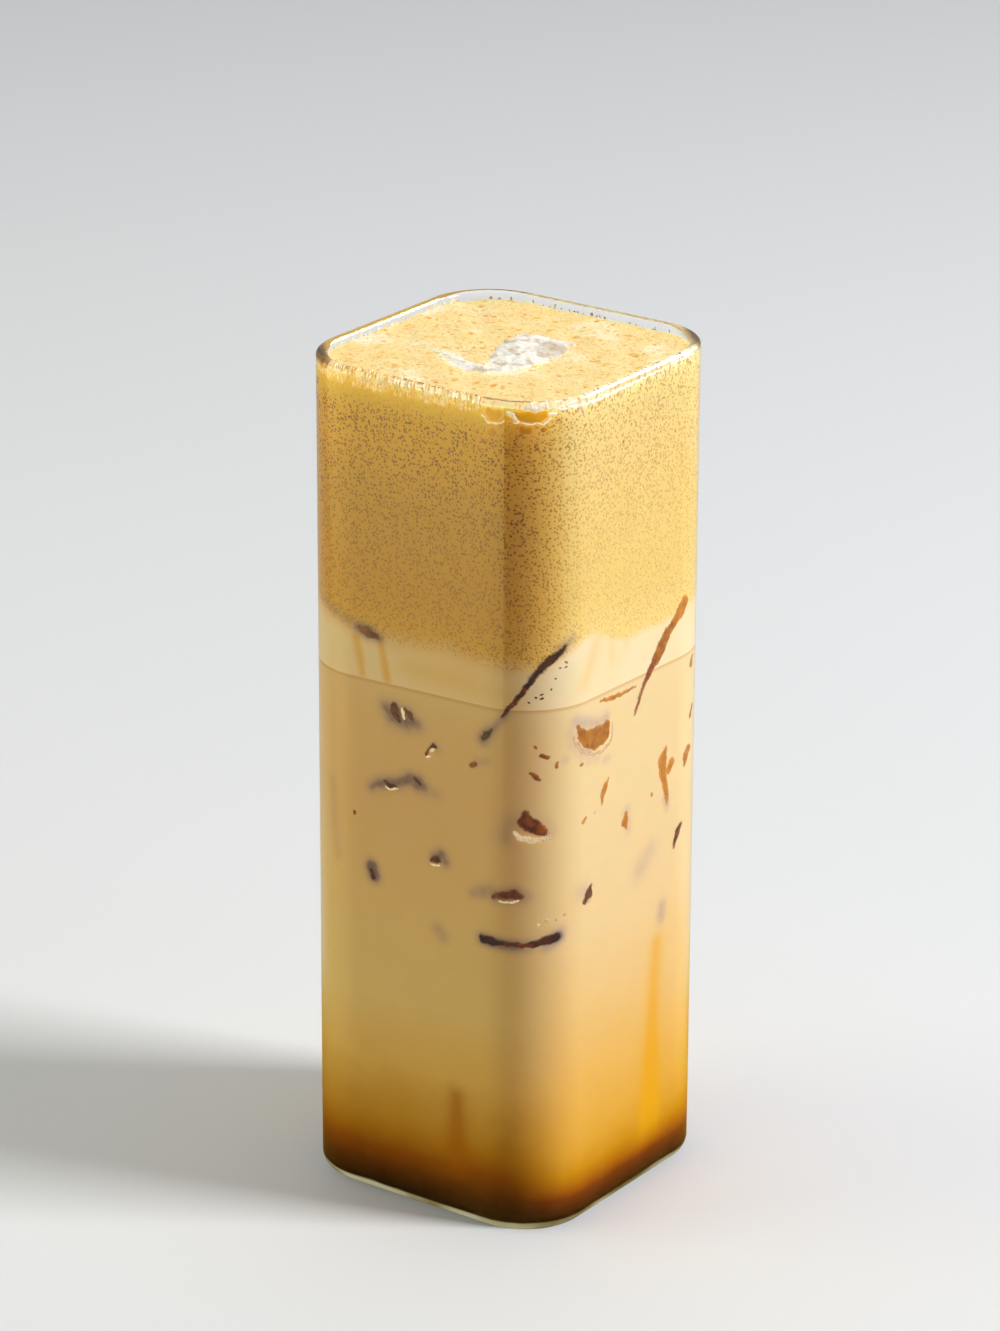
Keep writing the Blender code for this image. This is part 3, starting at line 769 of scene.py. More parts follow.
def make_glass(material):
    """One closed skin: up the outside from the foot, over the rim and down the inside to the floor."""
    corner_steps = 28
    side_steps = 10
    profile = []
    for angle in np.radians(np.linspace(-90, 0, 13)):
        inset = FOOT_EDGE_RADIUS * (1 - math.cos(angle))
        profile.append((inset, FOOT_EDGE_RADIUS * (1 + math.sin(angle)), OUTER_CORNER_RADIUS - inset))
    outer_span = HEIGHT - FOOT_EDGE_RADIUS - WALL / 2
    for share in np.linspace(0.05, 0.95, 20):
        profile.append((0, FOOT_EDGE_RADIUS + share * outer_span, OUTER_CORNER_RADIUS))
    for angle in np.radians(np.linspace(180, 0, 17)):
        across = WALL / 2 * (1 + math.cos(angle))
        share = across / WALL
        corner_radius = OUTER_CORNER_RADIUS * (1 - share) + INNER_CORNER_RADIUS * share
        profile.append((across, HEIGHT - WALL / 2 + WALL / 2 * math.sin(angle), corner_radius))
    inner_low = FLOOR_THICKNESS + FLOOR_EDGE_RADIUS
    for share in np.linspace(0.95, 0.05, 20):
        profile.append((WALL, inner_low + share * (HEIGHT - WALL / 2 - inner_low), INNER_CORNER_RADIUS))
    for angle in np.radians(np.linspace(0, -90, 9)):
        inset = FLOOR_EDGE_RADIUS * (1 - math.cos(angle))
        height = FLOOR_THICKNESS + FLOOR_EDGE_RADIUS * (1 + math.sin(angle))
        profile.append((WALL + inset, height, INNER_CORNER_RADIUS - inset))
    points = []
    for inset, height, corner_radius in profile:
        for x, y in rounded_square(SIDE / 2 - inset, corner_radius, corner_steps, side_steps):
            points.append((x, y, height))
    columns = len(points) // len(profile)
    points += [(0, 0, 0), (0, 0, FLOOR_THICKNESS)]
    faces = ring_faces(len(profile), columns)
    make_piece("glass_shell", points, faces, material, ("glass",))


def rounded_square(half, radius, corner_steps, side_steps):
    straight = half - radius
    corner = []
    for step in range(corner_steps + 1):
        angle = step / corner_steps * math.pi / 2
        corner.append((straight + radius * math.cos(angle), straight + radius * math.sin(angle)))
    for step in range(1, side_steps):
        corner.append((straight * (1 - 2 * step / side_steps), half))
    points = []
    for quarter in range(4):
        cosine = round(math.cos(quarter * math.pi / 2))
        sine = round(math.sin(quarter * math.pi / 2))
        points += [(x * cosine - y * sine, x * sine + y * cosine) for x, y in corner]
    return points


def trimmed_grid(field, low, high, pitch):
    """Square cells inside the line where the field is zero, with the outer corners drawn onto that line."""
    places = [np.arange(start, end, pitch) for start, end in zip(low, high)]
    across, up = np.meshgrid(*places, indexing="ij")
    value = field(across, up)
    near = value < 0.55 * pitch
    cells = near[:-1, :-1] & near[1:, :-1] & near[1:, 1:] & near[:-1, 1:]
    used = np.zeros(near.shape, dtype=bool)
    for shift_a, shift_b in ((0, 0), (1, 0), (1, 1), (0, 1)):
        used[shift_a:used.shape[0] - 1 + shift_a, shift_b:used.shape[1] - 1 + shift_b] |= cells
    inner = np.zeros(near.shape, dtype=bool)
    inner[1:-1, 1:-1] = cells[:-1, :-1] & cells[1:, :-1] & cells[1:, 1:] & cells[:-1, 1:]
    border = used & ~inner
    step = pitch / 4
    for _ in range(3):
        slope_a = (field(across + step, up) - field(across - step, up)) / (2 * step)
        slope_b = (field(across, up + step) - field(across, up - step)) / (2 * step)
        steep = np.maximum(slope_a ** 2 + slope_b ** 2, 0.25)
        move = np.clip(field(across, up), -pitch, pitch) / steep
        across = across - np.where(border, move * slope_a, 0)
        up = up - np.where(border, move * slope_b, 0)
    numbers = np.full(near.shape, -1)
    numbers[used] = np.arange(used.sum())
    corners = np.stack([numbers[:-1, :-1], numbers[1:, :-1], numbers[1:, 1:], numbers[:-1, 1:]], axis=-1)
    return across[used], up[used], field(across, up)[used], corners[cells]


# Traces in millimetres: the empty margin round a stroke, how much a soft one grows, and the depth at which
# its alpha is whole
TRACE_MARGIN = 0.8
TRACE_GROWTH = 0.22
COVER_DEPTH = 0.80


def make_traces(name, strokes, material, pitch, lift, bulge, roughness, soft):
    """Low domes on the drink's side, one for each stroke, with a tone for each."""
    patches = []
    faces = []
    count = 0
    growth = TRACE_GROWTH * soft
    for tone, stroke in strokes:
        widest = max(place[2] for place in stroke)
        reach = widest + TRACE_MARGIN

        def field(run, height):
            return stroke_distance(*wavy(run, height, roughness), stroke) - growth

        low = [min(place[axis] for place in stroke) - reach for axis in (0, 1)]
        high = [max(place[axis] for place in stroke) + reach for axis in (0, 1)]
        run, height, inside, cells = trimmed_grid(field, low, high, min(pitch, 0.4 * widest))
        depth = np.maximum(-inside, 0)
        x, y = wall_point(run * MM, INTO_GLASS + (lift + bulge * (1 - np.exp(-depth / 0.4))) * MM)
        cover = np.clip(depth / min(COVER_DEPTH, 0.8 * widest + growth), 0, 1)
        patches.append((x, y, height * MM, np.full(len(x), tone), depth, cover))
        faces.append(cells + count)
        count += len(x)
    x, y, z, tones, depths, covers = (np.concatenate(values) for values in zip(*patches))
    attributes = {"sunny": sunlit(x, y), "tone": tones, "depth": depths, "cover": covers}
    places = np.stack([x, y, z], axis=-1)
    make_piece(name, places, np.concatenate(faces).tolist(), material, (), attributes)


# The milk foam's grid, the thin edge that it keeps under the rim and on the foam, and its grey spot of
# painted shade on the lump's side towards +x and +y
MILK_FROM = (-0.016, -0.018)
MILK_TO = (0.014, 0.016)
MILK_PITCH = 0.00020
BELOW_RIM = 0.00005
MILK_EDGE = 0.0001
MILK_PAINTED_SHADE_X = 0.0074
MILK_PAINTED_SHADE_Y = 0.0062
MILK_PAINTED_SHADE_RADIUS = 0.0040


def island_field(x, y):
    """Distance to the milk foam's ragged outline, negative inside it."""
    wavy_x = x + 0.00025 * np.sin(y / 0.0007) + 0.00012 * np.sin(y / 0.00031 + x / 0.0005)
    wavy_y = y + 0.00025 * np.sin(x / 0.0006 + 1) + 0.00012 * np.sin(x / 0.00029 - y / 0.0004)
    away = np.full(np.shape(x), 1.0)
    for stroke in MILK_STROKES:
        away = np.minimum(away, stroke_distance(wavy_x, wavy_y, stroke))
    return away


def make_island(material):
    """White milk foam: a low ragged dome and its tail, lying on the golden foam."""
    x, y, inside, cells = trimmed_grid(island_field, MILK_FROM, MILK_TO, MILK_PITCH)
    depth = np.maximum(-inside, 0)
    lift = MILK_THICKNESS * (1 - np.exp(-depth / MILK_SLOPE))
    rough = np.array([
        0.16 * noise.noise(Vector((a, b, 0)) / 0.0016) + 0.10 * noise.noise(Vector((a, b, 0.01)) / 0.0006)
        for a, b in zip(x, y)
    ])
    lift = lift + rough * MM * np.clip(depth / 0.0006, 0, 1)
    lift = np.minimum(lift, HEIGHT - BELOW_RIM - foam_surface(x, y))
    z = foam_surface(x, y) + np.where(depth > 0, lift + MILK_EDGE, -MILK_EDGE)
    points = np.stack([x, y, z], axis=-1)
    milk_painted_shade = np.exp(-((x - MILK_PAINTED_SHADE_X) ** 2 + (y - MILK_PAINTED_SHADE_Y) ** 2) / MILK_PAINTED_SHADE_RADIUS ** 2)
    attributes = {"depth": depth / MM, "milk_painted_shade": milk_painted_shade}
    faces = cells.tolist()
    make_piece("milk_foam", points, faces, material, ("milk_foam_island",), attributes)


# Materials

class Nodes:
    """Adds nodes to one material and links them as they are made."""

    def __init__(self, name):
        self.material = bpy.data.materials.new(name)
        self.material.use_nodes = True
        self.tree = self.material.node_tree
        self.shader = self.tree.nodes["Principled BSDF"]

    def add(self, kind, inputs, **settings):
        node = self.tree.nodes.new(kind)
        for label, value in settings.items():
            setattr(node, label, value)
        for label, value in inputs.items():
            self.put(node.inputs[label], value)
        return node

    def put(self, socket, value):
        if isinstance(value, bpy.types.NodeSocket):
            self.tree.links.new(value, socket)
        elif socket.type == "RGBA":
            socket.default_value = (*value, 1.0)
        else:
            socket.default_value = value

    def read(self, label):
        return self.add("ShaderNodeAttribute", {}, attribute_name=label).outputs["Fac"]

    def place(self):
        return self.add("ShaderNodeTexCoord", {}).outputs["Object"]

    def calculate(self, operation, *values, clamp=False):
        inputs = dict(enumerate(values))
        return self.add("ShaderNodeMath", inputs, operation=operation, use_clamp=clamp).outputs[0]

    def times(self, first, second, clamp=False):
        return self.calculate("MULTIPLY", first, second, clamp=clamp)

    def scaled(self, value, factor, shift, clamp=False):
        return self.calculate("MULTIPLY_ADD", value, factor, shift, clamp=clamp)

    def plus(self, first, second):
        return self.calculate("ADD", first, second)

    def minus(self, first, second, clamp=False):
        return self.calculate("SUBTRACT", first, second, clamp=clamp)

    def larger(self, first, second):
        return self.calculate("MAXIMUM", first, second)

    def step(self, value, low, high):
        """0 where the value is low, 1 where it is high, smooth between."""
        inputs = {"Value": value, "From Min": low, "From Max": high}
        return self.add("ShaderNodeMapRange", inputs, interpolation_type="SMOOTHSTEP").outputs["Result"]

    def mix(self, factor, first, second, blend="MIX"):
        node = self.add("ShaderNodeMix", {}, data_type="RGBA", blend_type=blend)
        for index, value in ((0, factor), (6, first), (7, second)):
            self.put(node.inputs[index], value)
        return node.outputs[2]

    def tinted(self, factor, colour, tint):
        return self.mix(factor, colour, tint, "MULTIPLY")

    # Mixes a colour's painted shaded copy and its lit copy by the sunny mask
    def by_sun(self, shady, sunny):
        return self.mix(self.read("sunny"), shady, sunny)

    def ramp(self, factor, stops, light=SUNNY_LIGHT, span=1.0):
        """A colour that passes through stops, which are places and colours as seen."""
        node = self.add("ShaderNodeValToRGB", {"Fac": factor})
        ramp = node.color_ramp
        ramp.interpolation = "LINEAR"
        while len(ramp.elements) < len(stops):
            ramp.elements.new(1.0)
        for element, (position, colour) in zip(ramp.elements, stops):
            element.position = position / span
            element.color = (*seen(*colour, light), 1.0)
        return node.outputs["Color"]

    def noise(self, scale, detail=2.0, roughness=0.5):
        inputs = {"Vector": self.place(), "Scale": scale, "Detail": detail, "Roughness": roughness}
        return self.add("ShaderNodeTexNoise", inputs).outputs["Fac"]

    def voronoi(self, scale):
        return self.add("ShaderNodeTexVoronoi", {"Vector": self.place(), "Scale": scale})

    def dots(self, scale, share_low, share_high, size):
        """A mask of round dots in some of the cells."""
        cells = self.voronoi(scale)
        draw = self.add("ShaderNodeSeparateColor", {"Color": cells.outputs["Color"]}).outputs["Red"]
        chosen = self.step(draw, share_low, share_high)
        dot_mask = self.step(cells.outputs["Distance"], size, size * 0.55)
        return self.times(dot_mask, chosen)

    def bump(self, height, strength, distance, normal=None):
        inputs = {"Height": height, "Strength": strength, "Distance": distance}
        if normal:
            inputs["Normal"] = normal
        return self.add("ShaderNodeBump", inputs).outputs["Normal"]

    def blend(self, factor, first, second):
        return self.add("ShaderNodeMixShader", {0: factor, 1: first, 2: second}).outputs[0]

    def show(self, shader):
        self.tree.links.new(shader, self.tree.nodes["Material Output"].inputs["Surface"])

    def finish(self, **inputs):
        for label, value in inputs.items():
            self.put(self.shader.inputs[label.replace("_", " ")], value)
        return self.material


def coffee_colour(nodes):
    """Dark syrup at the foot that clears upwards into milky coffee; on the shady side it is darker up to a
    greater height, which is painted shade.
    """
    level = nodes.times(nodes.read("height"), nodes.scaled(nodes.noise(90, 3), 0.24, 0.88))
    one_turn = 2 * math.pi * MM / WHOLE_RUN
    turn = nodes.scaled(nodes.read("wall_run"), one_turn, 12 * one_turn)
    drift = nodes.times(nodes.calculate("SINE", turn), nodes.scaled(nodes.read("sunny"), 1.7, -1.7))
    share = nodes.calculate("DIVIDE", nodes.plus(level, drift), HEIGHT_SPAN)
    # Painted shade: the shady faces take a darker copy of the coffee's colours
    shady = nodes.ramp(share, SHADY_COFFEE, span=HEIGHT_SPAN)
    colour = nodes.by_sun(shady, nodes.ramp(share, SUNNY_COFFEE, span=HEIGHT_SPAN))
    # The syrup stains are real; their darker copy on the shady side is painted shade
    amber = nodes.by_sun(seen(186, 106, 1), seen(252, 186, 4))
    stain = nodes.times(nodes.read("stain"), nodes.step(nodes.read("height"), 6.0, 16.0))
    colour = nodes.mix(stain, colour, amber)
    above = nodes.read("above_coffee")
    line = nodes.times(nodes.step(above, -1.0, -0.15), nodes.step(above, 0.05, -0.1))
    colour = nodes.mix(nodes.times(line, 0.45), colour, seen(216, 152, 70))
    return nodes.mix(nodes.times(nodes.noise(260, 3), 0.06), colour, seen(236, 190, 120))


def shaded(nodes, colour):
    """Grey-mauve where ice lies behind the milky drink, brown-mauve where it lies close."""
    uneven = nodes.scaled(nodes.noise(700, 3), 0.6, 0.7)
    shade = nodes.times(nodes.read("shade"), uneven, clamp=True)
    colour = nodes.tinted(shade, colour, BEHIND_MILK)
    close = nodes.times(nodes.step(shade, 0.40, 0.95), 0.65)
    return nodes.mix(close, colour, CLOSE_BEHIND_MILK)


def foam_colour(nodes):
    """Pale cream that passes into golden foam, and the share of foam in it."""
    height = nodes.read("height")
    wisps = nodes.scaled(nodes.noise(160, 4, 0.6), 3.2, -1.6)
    above = nodes.plus(nodes.read("above_cream"), wisps)
    fade = nodes.scaled(nodes.read("sunny"), -2.2, 3.6)
    golden = nodes.step(nodes.calculate("DIVIDE", above, fade), -1.0, 1.0)
    share = nodes.calculate("DIVIDE", nodes.minus(height, FOAM_FOOT), FOAM_SPAN)
    gold = nodes.ramp(share, GOLD, FOAM_LIGHT)
    # Painted shade: a darker, warmer copy of the gold on the shady faces, from low to high
    tint = nodes.mix(nodes.step(height, 144.0, 160.0), FOAM_PAINTED_SHADE_LOW, FOAM_PAINTED_SHADE_HIGH)
    tint = nodes.mix(nodes.step(height, 160.0, 166.0), tint, FOAM_PAINTED_SHADE_RIM)
    gold = nodes.by_sun(nodes.tinted(1.0, gold, tint), gold)
    gold = nodes.mix(nodes.times(nodes.noise(70, 3), 0.22), gold, seen(222, 176, 82, FOAM_LIGHT))
    cream = nodes.mix(nodes.noise(120, 3), seen(255, 240, 210, FOAM_LIGHT), seen(254, 228, 176, FOAM_LIGHT))
    # Painted shade: the cream a little darker on the shady faces
    cream = nodes.by_sun(nodes.tinted(1.0, cream, CREAM_PAINTED_SHADE), cream)
    cream = nodes.mix(nodes.read("streak"), cream, seen(244, 192, 84, FOAM_LIGHT))
    return nodes.mix(golden, cream, gold), golden


def foam_dots(nodes, golden, shady):
    """Fine dark bubbles that grow towards the top and crowd at the near corner."""
    near_corner = nodes.step(nodes.calculate("ABSOLUTE", nodes.plus(nodes.read("wall_run"), 1.0)), 9.0, 2.0)
    height = nodes.read("height")
    crowd = nodes.scaled(near_corner, 0.45, nodes.step(height, 126.0, 164.0), clamp=True)
    fine = nodes.times(nodes.dots(*FINE_DOTS), nodes.scaled(crowd, 0.32, 0.55))
    few = nodes.scaled(shady, 0.22, 0.16)
    middle = nodes.times(nodes.dots(*MIDDLE_DOTS), nodes.scaled(crowd, 0.80, few))
    large = nodes.times(nodes.dots(*LARGE_DOTS), crowd)
    dots = nodes.times(nodes.larger(nodes.larger(fine, middle), large), golden)
    smooth = nodes.times(nodes.step(height, 161.5, 165.5), shady)
    dots = nodes.times(dots, nodes.scaled(smooth, -0.75, 1.0))
    return nodes.times(dots, nodes.scaled(nodes.read("sunny"), -0.38, 1.02), clamp=True)


def foam_top(nodes, open_dots):
    """The foam's upper side, with open bubbles."""
    top = nodes.mix(nodes.noise(260, 4, 0.6), seen(253, 234, 176), seen(244, 202, 112))
    top = nodes.mix(nodes.step(nodes.noise(90, 3), 0.52, 0.72), top, seen(255, 242, 204))
    top = nodes.mix(nodes.step(nodes.noise(620, 3, 0.6), 0.56, 0.70), top, seen(240, 180, 78))
    top = nodes.tinted(open_dots, top, PORE_TINT)
    return nodes.mix(nodes.read("pool"), top, seen(236, 160, 36))


def foam_material():
    nodes = Nodes("golden_foam")
    colour, golden = foam_colour(nodes)
    shady = nodes.minus(1.0, nodes.read("sunny"))
    dots = foam_dots(nodes, golden, shady)
    side = nodes.tinted(golden, colour, FOAM_TINT_SIDE)
    # Painted light and shade: a tint where the sunny face turns into the shady one
    between = nodes.times(nodes.times(shady, nodes.read("sunny")), 4.0)
    side = nodes.tinted(nodes.times(between, golden), side, FOAM_PAINTED_LIGHT_TO_SHADE)
    side = shaded(nodes, nodes.tinted(dots, side, BUBBLE_TINT))
    pores = nodes.times(nodes.dots(*TOP_PORES), 0.60)
    open_dots = nodes.larger(pores, nodes.times(nodes.dots(*TOP_HOLES), 0.90))
    colour = nodes.mix(nodes.read("on_top"), side, foam_top(nodes, open_dots))
    normal = nodes.bump(nodes.times(nodes.larger(dots, open_dots), -1.0), 0.5, 0.0002)
    normal = nodes.bump(nodes.noise(1500, 4, 0.6), 0.35, 0.00015, normal)
    strays = nodes.times(nodes.step(nodes.read("above_cream"), 3.0, 9.0), 0.85)
    return nodes.finish(Base_Color=colour, Roughness=0.6, Normal=normal, Specular_IOR_Level=0.15,
                        Subsurface_Weight=strays, Subsurface_Radius=SCATTER, Subsurface_Scale=SCATTER_REACH)


def liquid(nodes, colour, normal, low, high, weight):
    """A smooth drink that light strays into, save near its upper and lower ends."""
    colour = shaded(nodes, colour)
    strays = nodes.times(nodes.times(low, high), weight)
    return nodes.finish(Base_Color=colour, Roughness=0.5, Normal=normal, Specular_IOR_Level=0.0,
                        Subsurface_Weight=strays, Subsurface_Radius=SCATTER, Subsurface_Scale=SCATTER_REACH)


def cream_material():
    nodes = Nodes("cream")
    normal = nodes.bump(nodes.noise(500, 3), 0.15, 0.0001)
    low = nodes.step(nodes.read("above_coffee"), 1.0, 4.0)
    high = nodes.step(nodes.read("above_cream"), -1.0, -4.0)
    return liquid(nodes, foam_colour(nodes)[0], normal, low, high, 0.40)


def coffee_material(name):
    nodes = Nodes(name)
    normal = nodes.bump(nodes.noise(300, 3), 0.1, 0.0001)
    high = nodes.step(nodes.read("above_coffee"), -1.0, -6.0)
    low = nodes.step(nodes.read("height"), 14.0, 24.0)
    return liquid(nodes, coffee_colour(nodes), normal, high, low, 0.85)


def ice_material():
    """Ice seen through the glass: nearly black where it lies deep, amber where light comes through."""
    nodes = Nodes("sunk_ice")
    cloud = nodes.scaled(nodes.noise(520, 4, 0.6), 1.1, -0.55)
    value = nodes.plus(nodes.read("tone"), cloud)
    value = nodes.scaled(nodes.step(nodes.read("depth"), 1.0, 0.0), 0.06, value)
    colour = nodes.ramp(value, ICE_COLOURS)
    normal = nodes.bump(nodes.noise(700, 3), 0.3, 0.0002)
    ragged = nodes.plus(nodes.read("cover"), nodes.scaled(nodes.noise(1400, 2), 0.6, -0.3))
    return nodes.finish(Base_Color=colour, Roughness=0.35, Normal=normal, Specular_IOR_Level=0.0,
                        Alpha=nodes.times(nodes.step(ragged, 0.0, 0.72), 0.97))


def bubble_material():
    """The thin golden skin of a bubble against the glass; small ones are browner."""
    nodes = Nodes("foam_bubbles")
    tone = nodes.read("tone")
    golden = nodes.mix(nodes.noise(500, 3), seen(246, 184, 20), seen(228, 158, 4))
    brown = nodes.mix(nodes.noise(500, 3), seen(194, 126, 8), seen(164, 100, 4))
    edge = nodes.times(nodes.step(nodes.read("depth"), 0.18, 0.0), tone)
    colour = nodes.mix(edge, nodes.mix(tone, brown, golden), seen(250, 218, 140))
    normal = nodes.bump(nodes.noise(400, 2), 0.3, 0.0002)
    # Painted light: the bubbles glow on the shady faces, as if lit through from behind
    painted_glow = nodes.times(nodes.step(nodes.read("sunny"), 1.1, 0.5), 0.28)
    return nodes.finish(Base_Color=colour, Roughness=0.3, Normal=normal, Specular_IOR_Level=0.0,
                        Emission_Color=colour, Emission_Strength=painted_glow)


def froth_material():
    """Fine pale froth, with golden drink in some of it."""
    nodes = Nodes("pale_froth")
    tone = nodes.read("tone")
    sunny = nodes.read("sunny")
    grains = nodes.voronoi(2400).outputs["Distance"]
    colour = nodes.ramp(nodes.times(tone, 0.5), FROTH_COLOURS)
    hollows = nodes.tinted(1.0, colour, FROTH_HOLLOW_TINT)
    colour = nodes.mix(nodes.step(grains, 0.2, 0.5), hollows, colour)
    white = nodes.step(tone, 1.7, 1.9)
    # Painted shade: froth on the sunny faces is darker, save the white froth
    colour = nodes.tinted(nodes.times(sunny, nodes.minus(1.0, white)), colour, FROTH_SUNNY_PAINTED_SHADE)
    normal = nodes.bump(grains, 0.4, 0.0002)
    ragged = nodes.plus(nodes.read("cover"), nodes.scaled(nodes.noise(1600, 2), 0.6, -0.30))
    # Painted light: froth glows on the shady faces, and the white froth glows on all faces
    painted_glow = nodes.times(nodes.step(tone, 0.2, 0.4), nodes.step(sunny, 1.0, 0.3))
    painted_glow = nodes.times(nodes.larger(painted_glow, white), 0.32)
    return nodes.finish(Base_Color=colour, Roughness=0.5, Normal=normal, Specular_IOR_Level=0.0,
                        Alpha=nodes.step(ragged, 0.0, 0.6), Emission_Color=colour, Emission_Strength=painted_glow)


def milk_material():
    nodes = Nodes("white_milk_foam")
    cells = nodes.dots(*MILK_PORES)
    cloud = nodes.step(nodes.noise(350, 4, 0.6), 0.46, 0.66)
    colour = nodes.mix(cloud, seen(248, 243, 233), seen(208, 192, 166))
    colour = nodes.mix(nodes.times(cells, 0.5), colour, seen(190, 158, 132))
    # Painted shade: greyer on the lump's side towards +x and +y
    colour = nodes.mix(nodes.times(nodes.read("milk_painted_shade"), 0.8), colour, seen(192, 170, 142))
    edge = nodes.step(nodes.read("depth"), 0.5, 0.0)
    colour = nodes.mix(nodes.times(edge, 0.4), colour, seen(248, 232, 196))
    normal = nodes.bump(nodes.times(cells, -1.0), 0.4, 0.0002)
    normal = nodes.bump(nodes.noise(1500, 4, 0.6), 0.5, 0.00015, normal)
    fringe = nodes.scaled(nodes.noise(1100, 3, 0.6), 1.6, -0.8)
    cover = nodes.step(nodes.plus(nodes.read("depth"), fringe), 0.0, 0.5)
    return nodes.finish(Base_Color=colour, Roughness=0.75, Normal=normal, Specular_IOR_Level=0.2, Alpha=cover)


def glass_material():
    """Clear glass with a foot that glows pale, which is painted light, and painted dark reflections at the
    ends of its rim; it throws no shadow on the drink.
    """
    nodes = Nodes("clear_glass")
    normal = nodes.bump(nodes.noise(28, 1), 0.02, 0.001)
    x, y, z = nodes.add("ShaderNodeSeparateXYZ", {"Vector": nodes.place()}).outputs
    # Painted dark reflections: the rim corners where x and y share a sign are tinted dark
    ends = nodes.times(nodes.step(nodes.times(x, y), 0.00056, 0.00065), nodes.step(z, 0.1678, 0.1692))
    tint = nodes.mix(ends, GLASS_TINT, RIM_END_PAINTED_REFLECTION)
    nodes.finish(Base_Color=tint, Roughness=0.0, IOR=1.47, Normal=normal, Transmission_Weight=1.0)
    # Painted light: the foot glows pale, as if light were led through the glass
    wander = nodes.scaled(nodes.noise(160, 3), 0.0008, -0.0004)
    foot = nodes.times(nodes.step(nodes.plus(z, wander), 0.0026, 0.0019), 0.65)
    patchy = nodes.step(nodes.noise(60, 3), 0.35, 0.65)
    pale = nodes.mix(patchy, seen(222, 216, 172, 1.0), seen(136, 118, 62, 1.0))
    lit = nodes.add("ShaderNodeEmission", {"Color": pale, "Strength": 0.70}).outputs[0]
    body = nodes.blend(foot, nodes.shader.outputs[0], lit)
    # and on top of the rim there a dark diffuse, painted too
    dark = nodes.add("ShaderNodeBsdfDiffuse", {"Color": RIM_TOP_PAINTED_REFLECTION}).outputs[0]
    rim_top = nodes.times(ends, nodes.step(z, 0.1688, 0.1697))
    body = nodes.blend(nodes.times(rim_top, 0.6), body, dark)
    clear = nodes.add("ShaderNodeBsdfTransparent", {"Color": GLASS_SHADOW}).outputs[0]
    path = nodes.add("ShaderNodeLightPath", {})
    for kind in ("Is Diffuse Ray", "Is Shadow Ray"):
        body = nodes.blend(path.outputs[kind], body, clear)
    nodes.show(body)
    return nodes.material


def floor_material():
    """Pale to the eye; what it throws back onto the glass is warm."""
    nodes = Nodes("pale_floor")
    nodes.finish(Base_Color=FLOOR_PALE, Roughness=0.8, Specular_IOR_Level=0.1)
    path = nodes.add("ShaderNodeLightPath", {}).outputs
    mirrored_ray = nodes.minus(path["Is Glossy Ray"], path["Is Transmission Ray"], clamp=True)
    away = nodes.add("ShaderNodeVectorMath", {0: nodes.place()}, operation="LENGTH").outputs["Value"]
    mirrored_floor = nodes.mix(nodes.step(away, 0.080, 0.130), FLOOR_MIRRORED_NEAR, FLOOR_MIRRORED_FAR)
    thrown_back = nodes.mix(mirrored_ray, FLOOR_WARM, mirrored_floor)
    warm = nodes.add("ShaderNodeBsdfDiffuse", {"Color": thrown_back}).outputs[0]
    bounced = nodes.larger(path["Is Diffuse Ray"], mirrored_ray)
    nodes.show(nodes.blend(bounced, nodes.shader.outputs[0], warm))
    return nodes.material


# Studio

def make_floor():
    steps = 96
    reach = 8.0
    angles = [2 * math.pi * step / steps for step in range(steps)]
    points = [(reach * math.cos(angle), reach * math.sin(angle), 0) for angle in angles]
    mesh = bpy.data.meshes.new("floor")
    mesh.from_pydata(points, [], [tuple(range(steps))])
    mesh.materials.append(floor_material())
    floor = bpy.data.objects.new("floor", mesh)
    bpy.context.scene.collection.objects.link(floor)


def area_light(name, size, power, colour):
    data = bpy.data.lights.new(name, "AREA")
    data.shape = "RECTANGLE"
    data.size, data.size_y = size
    data.energy = power
    data.color = colour
    light = bpy.data.objects.new(name, data)
    light.visible_camera = False
    light.visible_transmission = False
    bpy.context.scene.collection.objects.link(light)
    return light


def make_light(name, direction, distance, size, power, colour, glossy=True, diffuse=True):
    """A light that looks at the middle of the glass from that direction."""
    light = area_light(name, size, power, colour)
    target = Vector((0, 0, HEIGHT / 2))
    light.location = target + Vector(direction).normalized() * distance
    light.rotation_euler = (target - light.location).to_track_quat("-Z", "Y").to_euler()
    light.visible_glossy = glossy
    light.visible_diffuse = diffuse


def make_card():
    """A low card on the shady side; the flat face of the glass mirrors it, as far as the near corner."""
    width = CARD_RIGHT - CARD_LEFT
    power = CARD_RADIANCE * math.pi * width * CARD_TOP
    card = area_light("card", (width, CARD_TOP), power, CARD_COLOUR)
    card.location = ((CARD_LEFT + CARD_RIGHT) / 2, -CARD_AWAY, CARD_TOP / 2)
    card.rotation_euler = (math.radians(90), 0, 0)
    card.visible_diffuse = False
    card.data.use_nodes = True
    tree = card.data.node_tree
    place = tree.nodes.new("ShaderNodeNewGeometry")
    parts = tree.nodes.new("ShaderNodeSeparateXYZ")
    fade = tree.nodes.new("ShaderNodeMapRange")
    fade.interpolation_type = "SMOOTHSTEP"
    fade.inputs["From Min"].default_value = CARD_DIM
    fade.inputs["From Max"].default_value = CARD_BRIGHT
    tree.links.new(place.outputs["Position"], parts.inputs["Vector"])
    tree.links.new(parts.outputs["Z"], fade.inputs["Value"])
    tree.links.new(fade.outputs["Result"], tree.nodes["Emission"].inputs["Strength"])


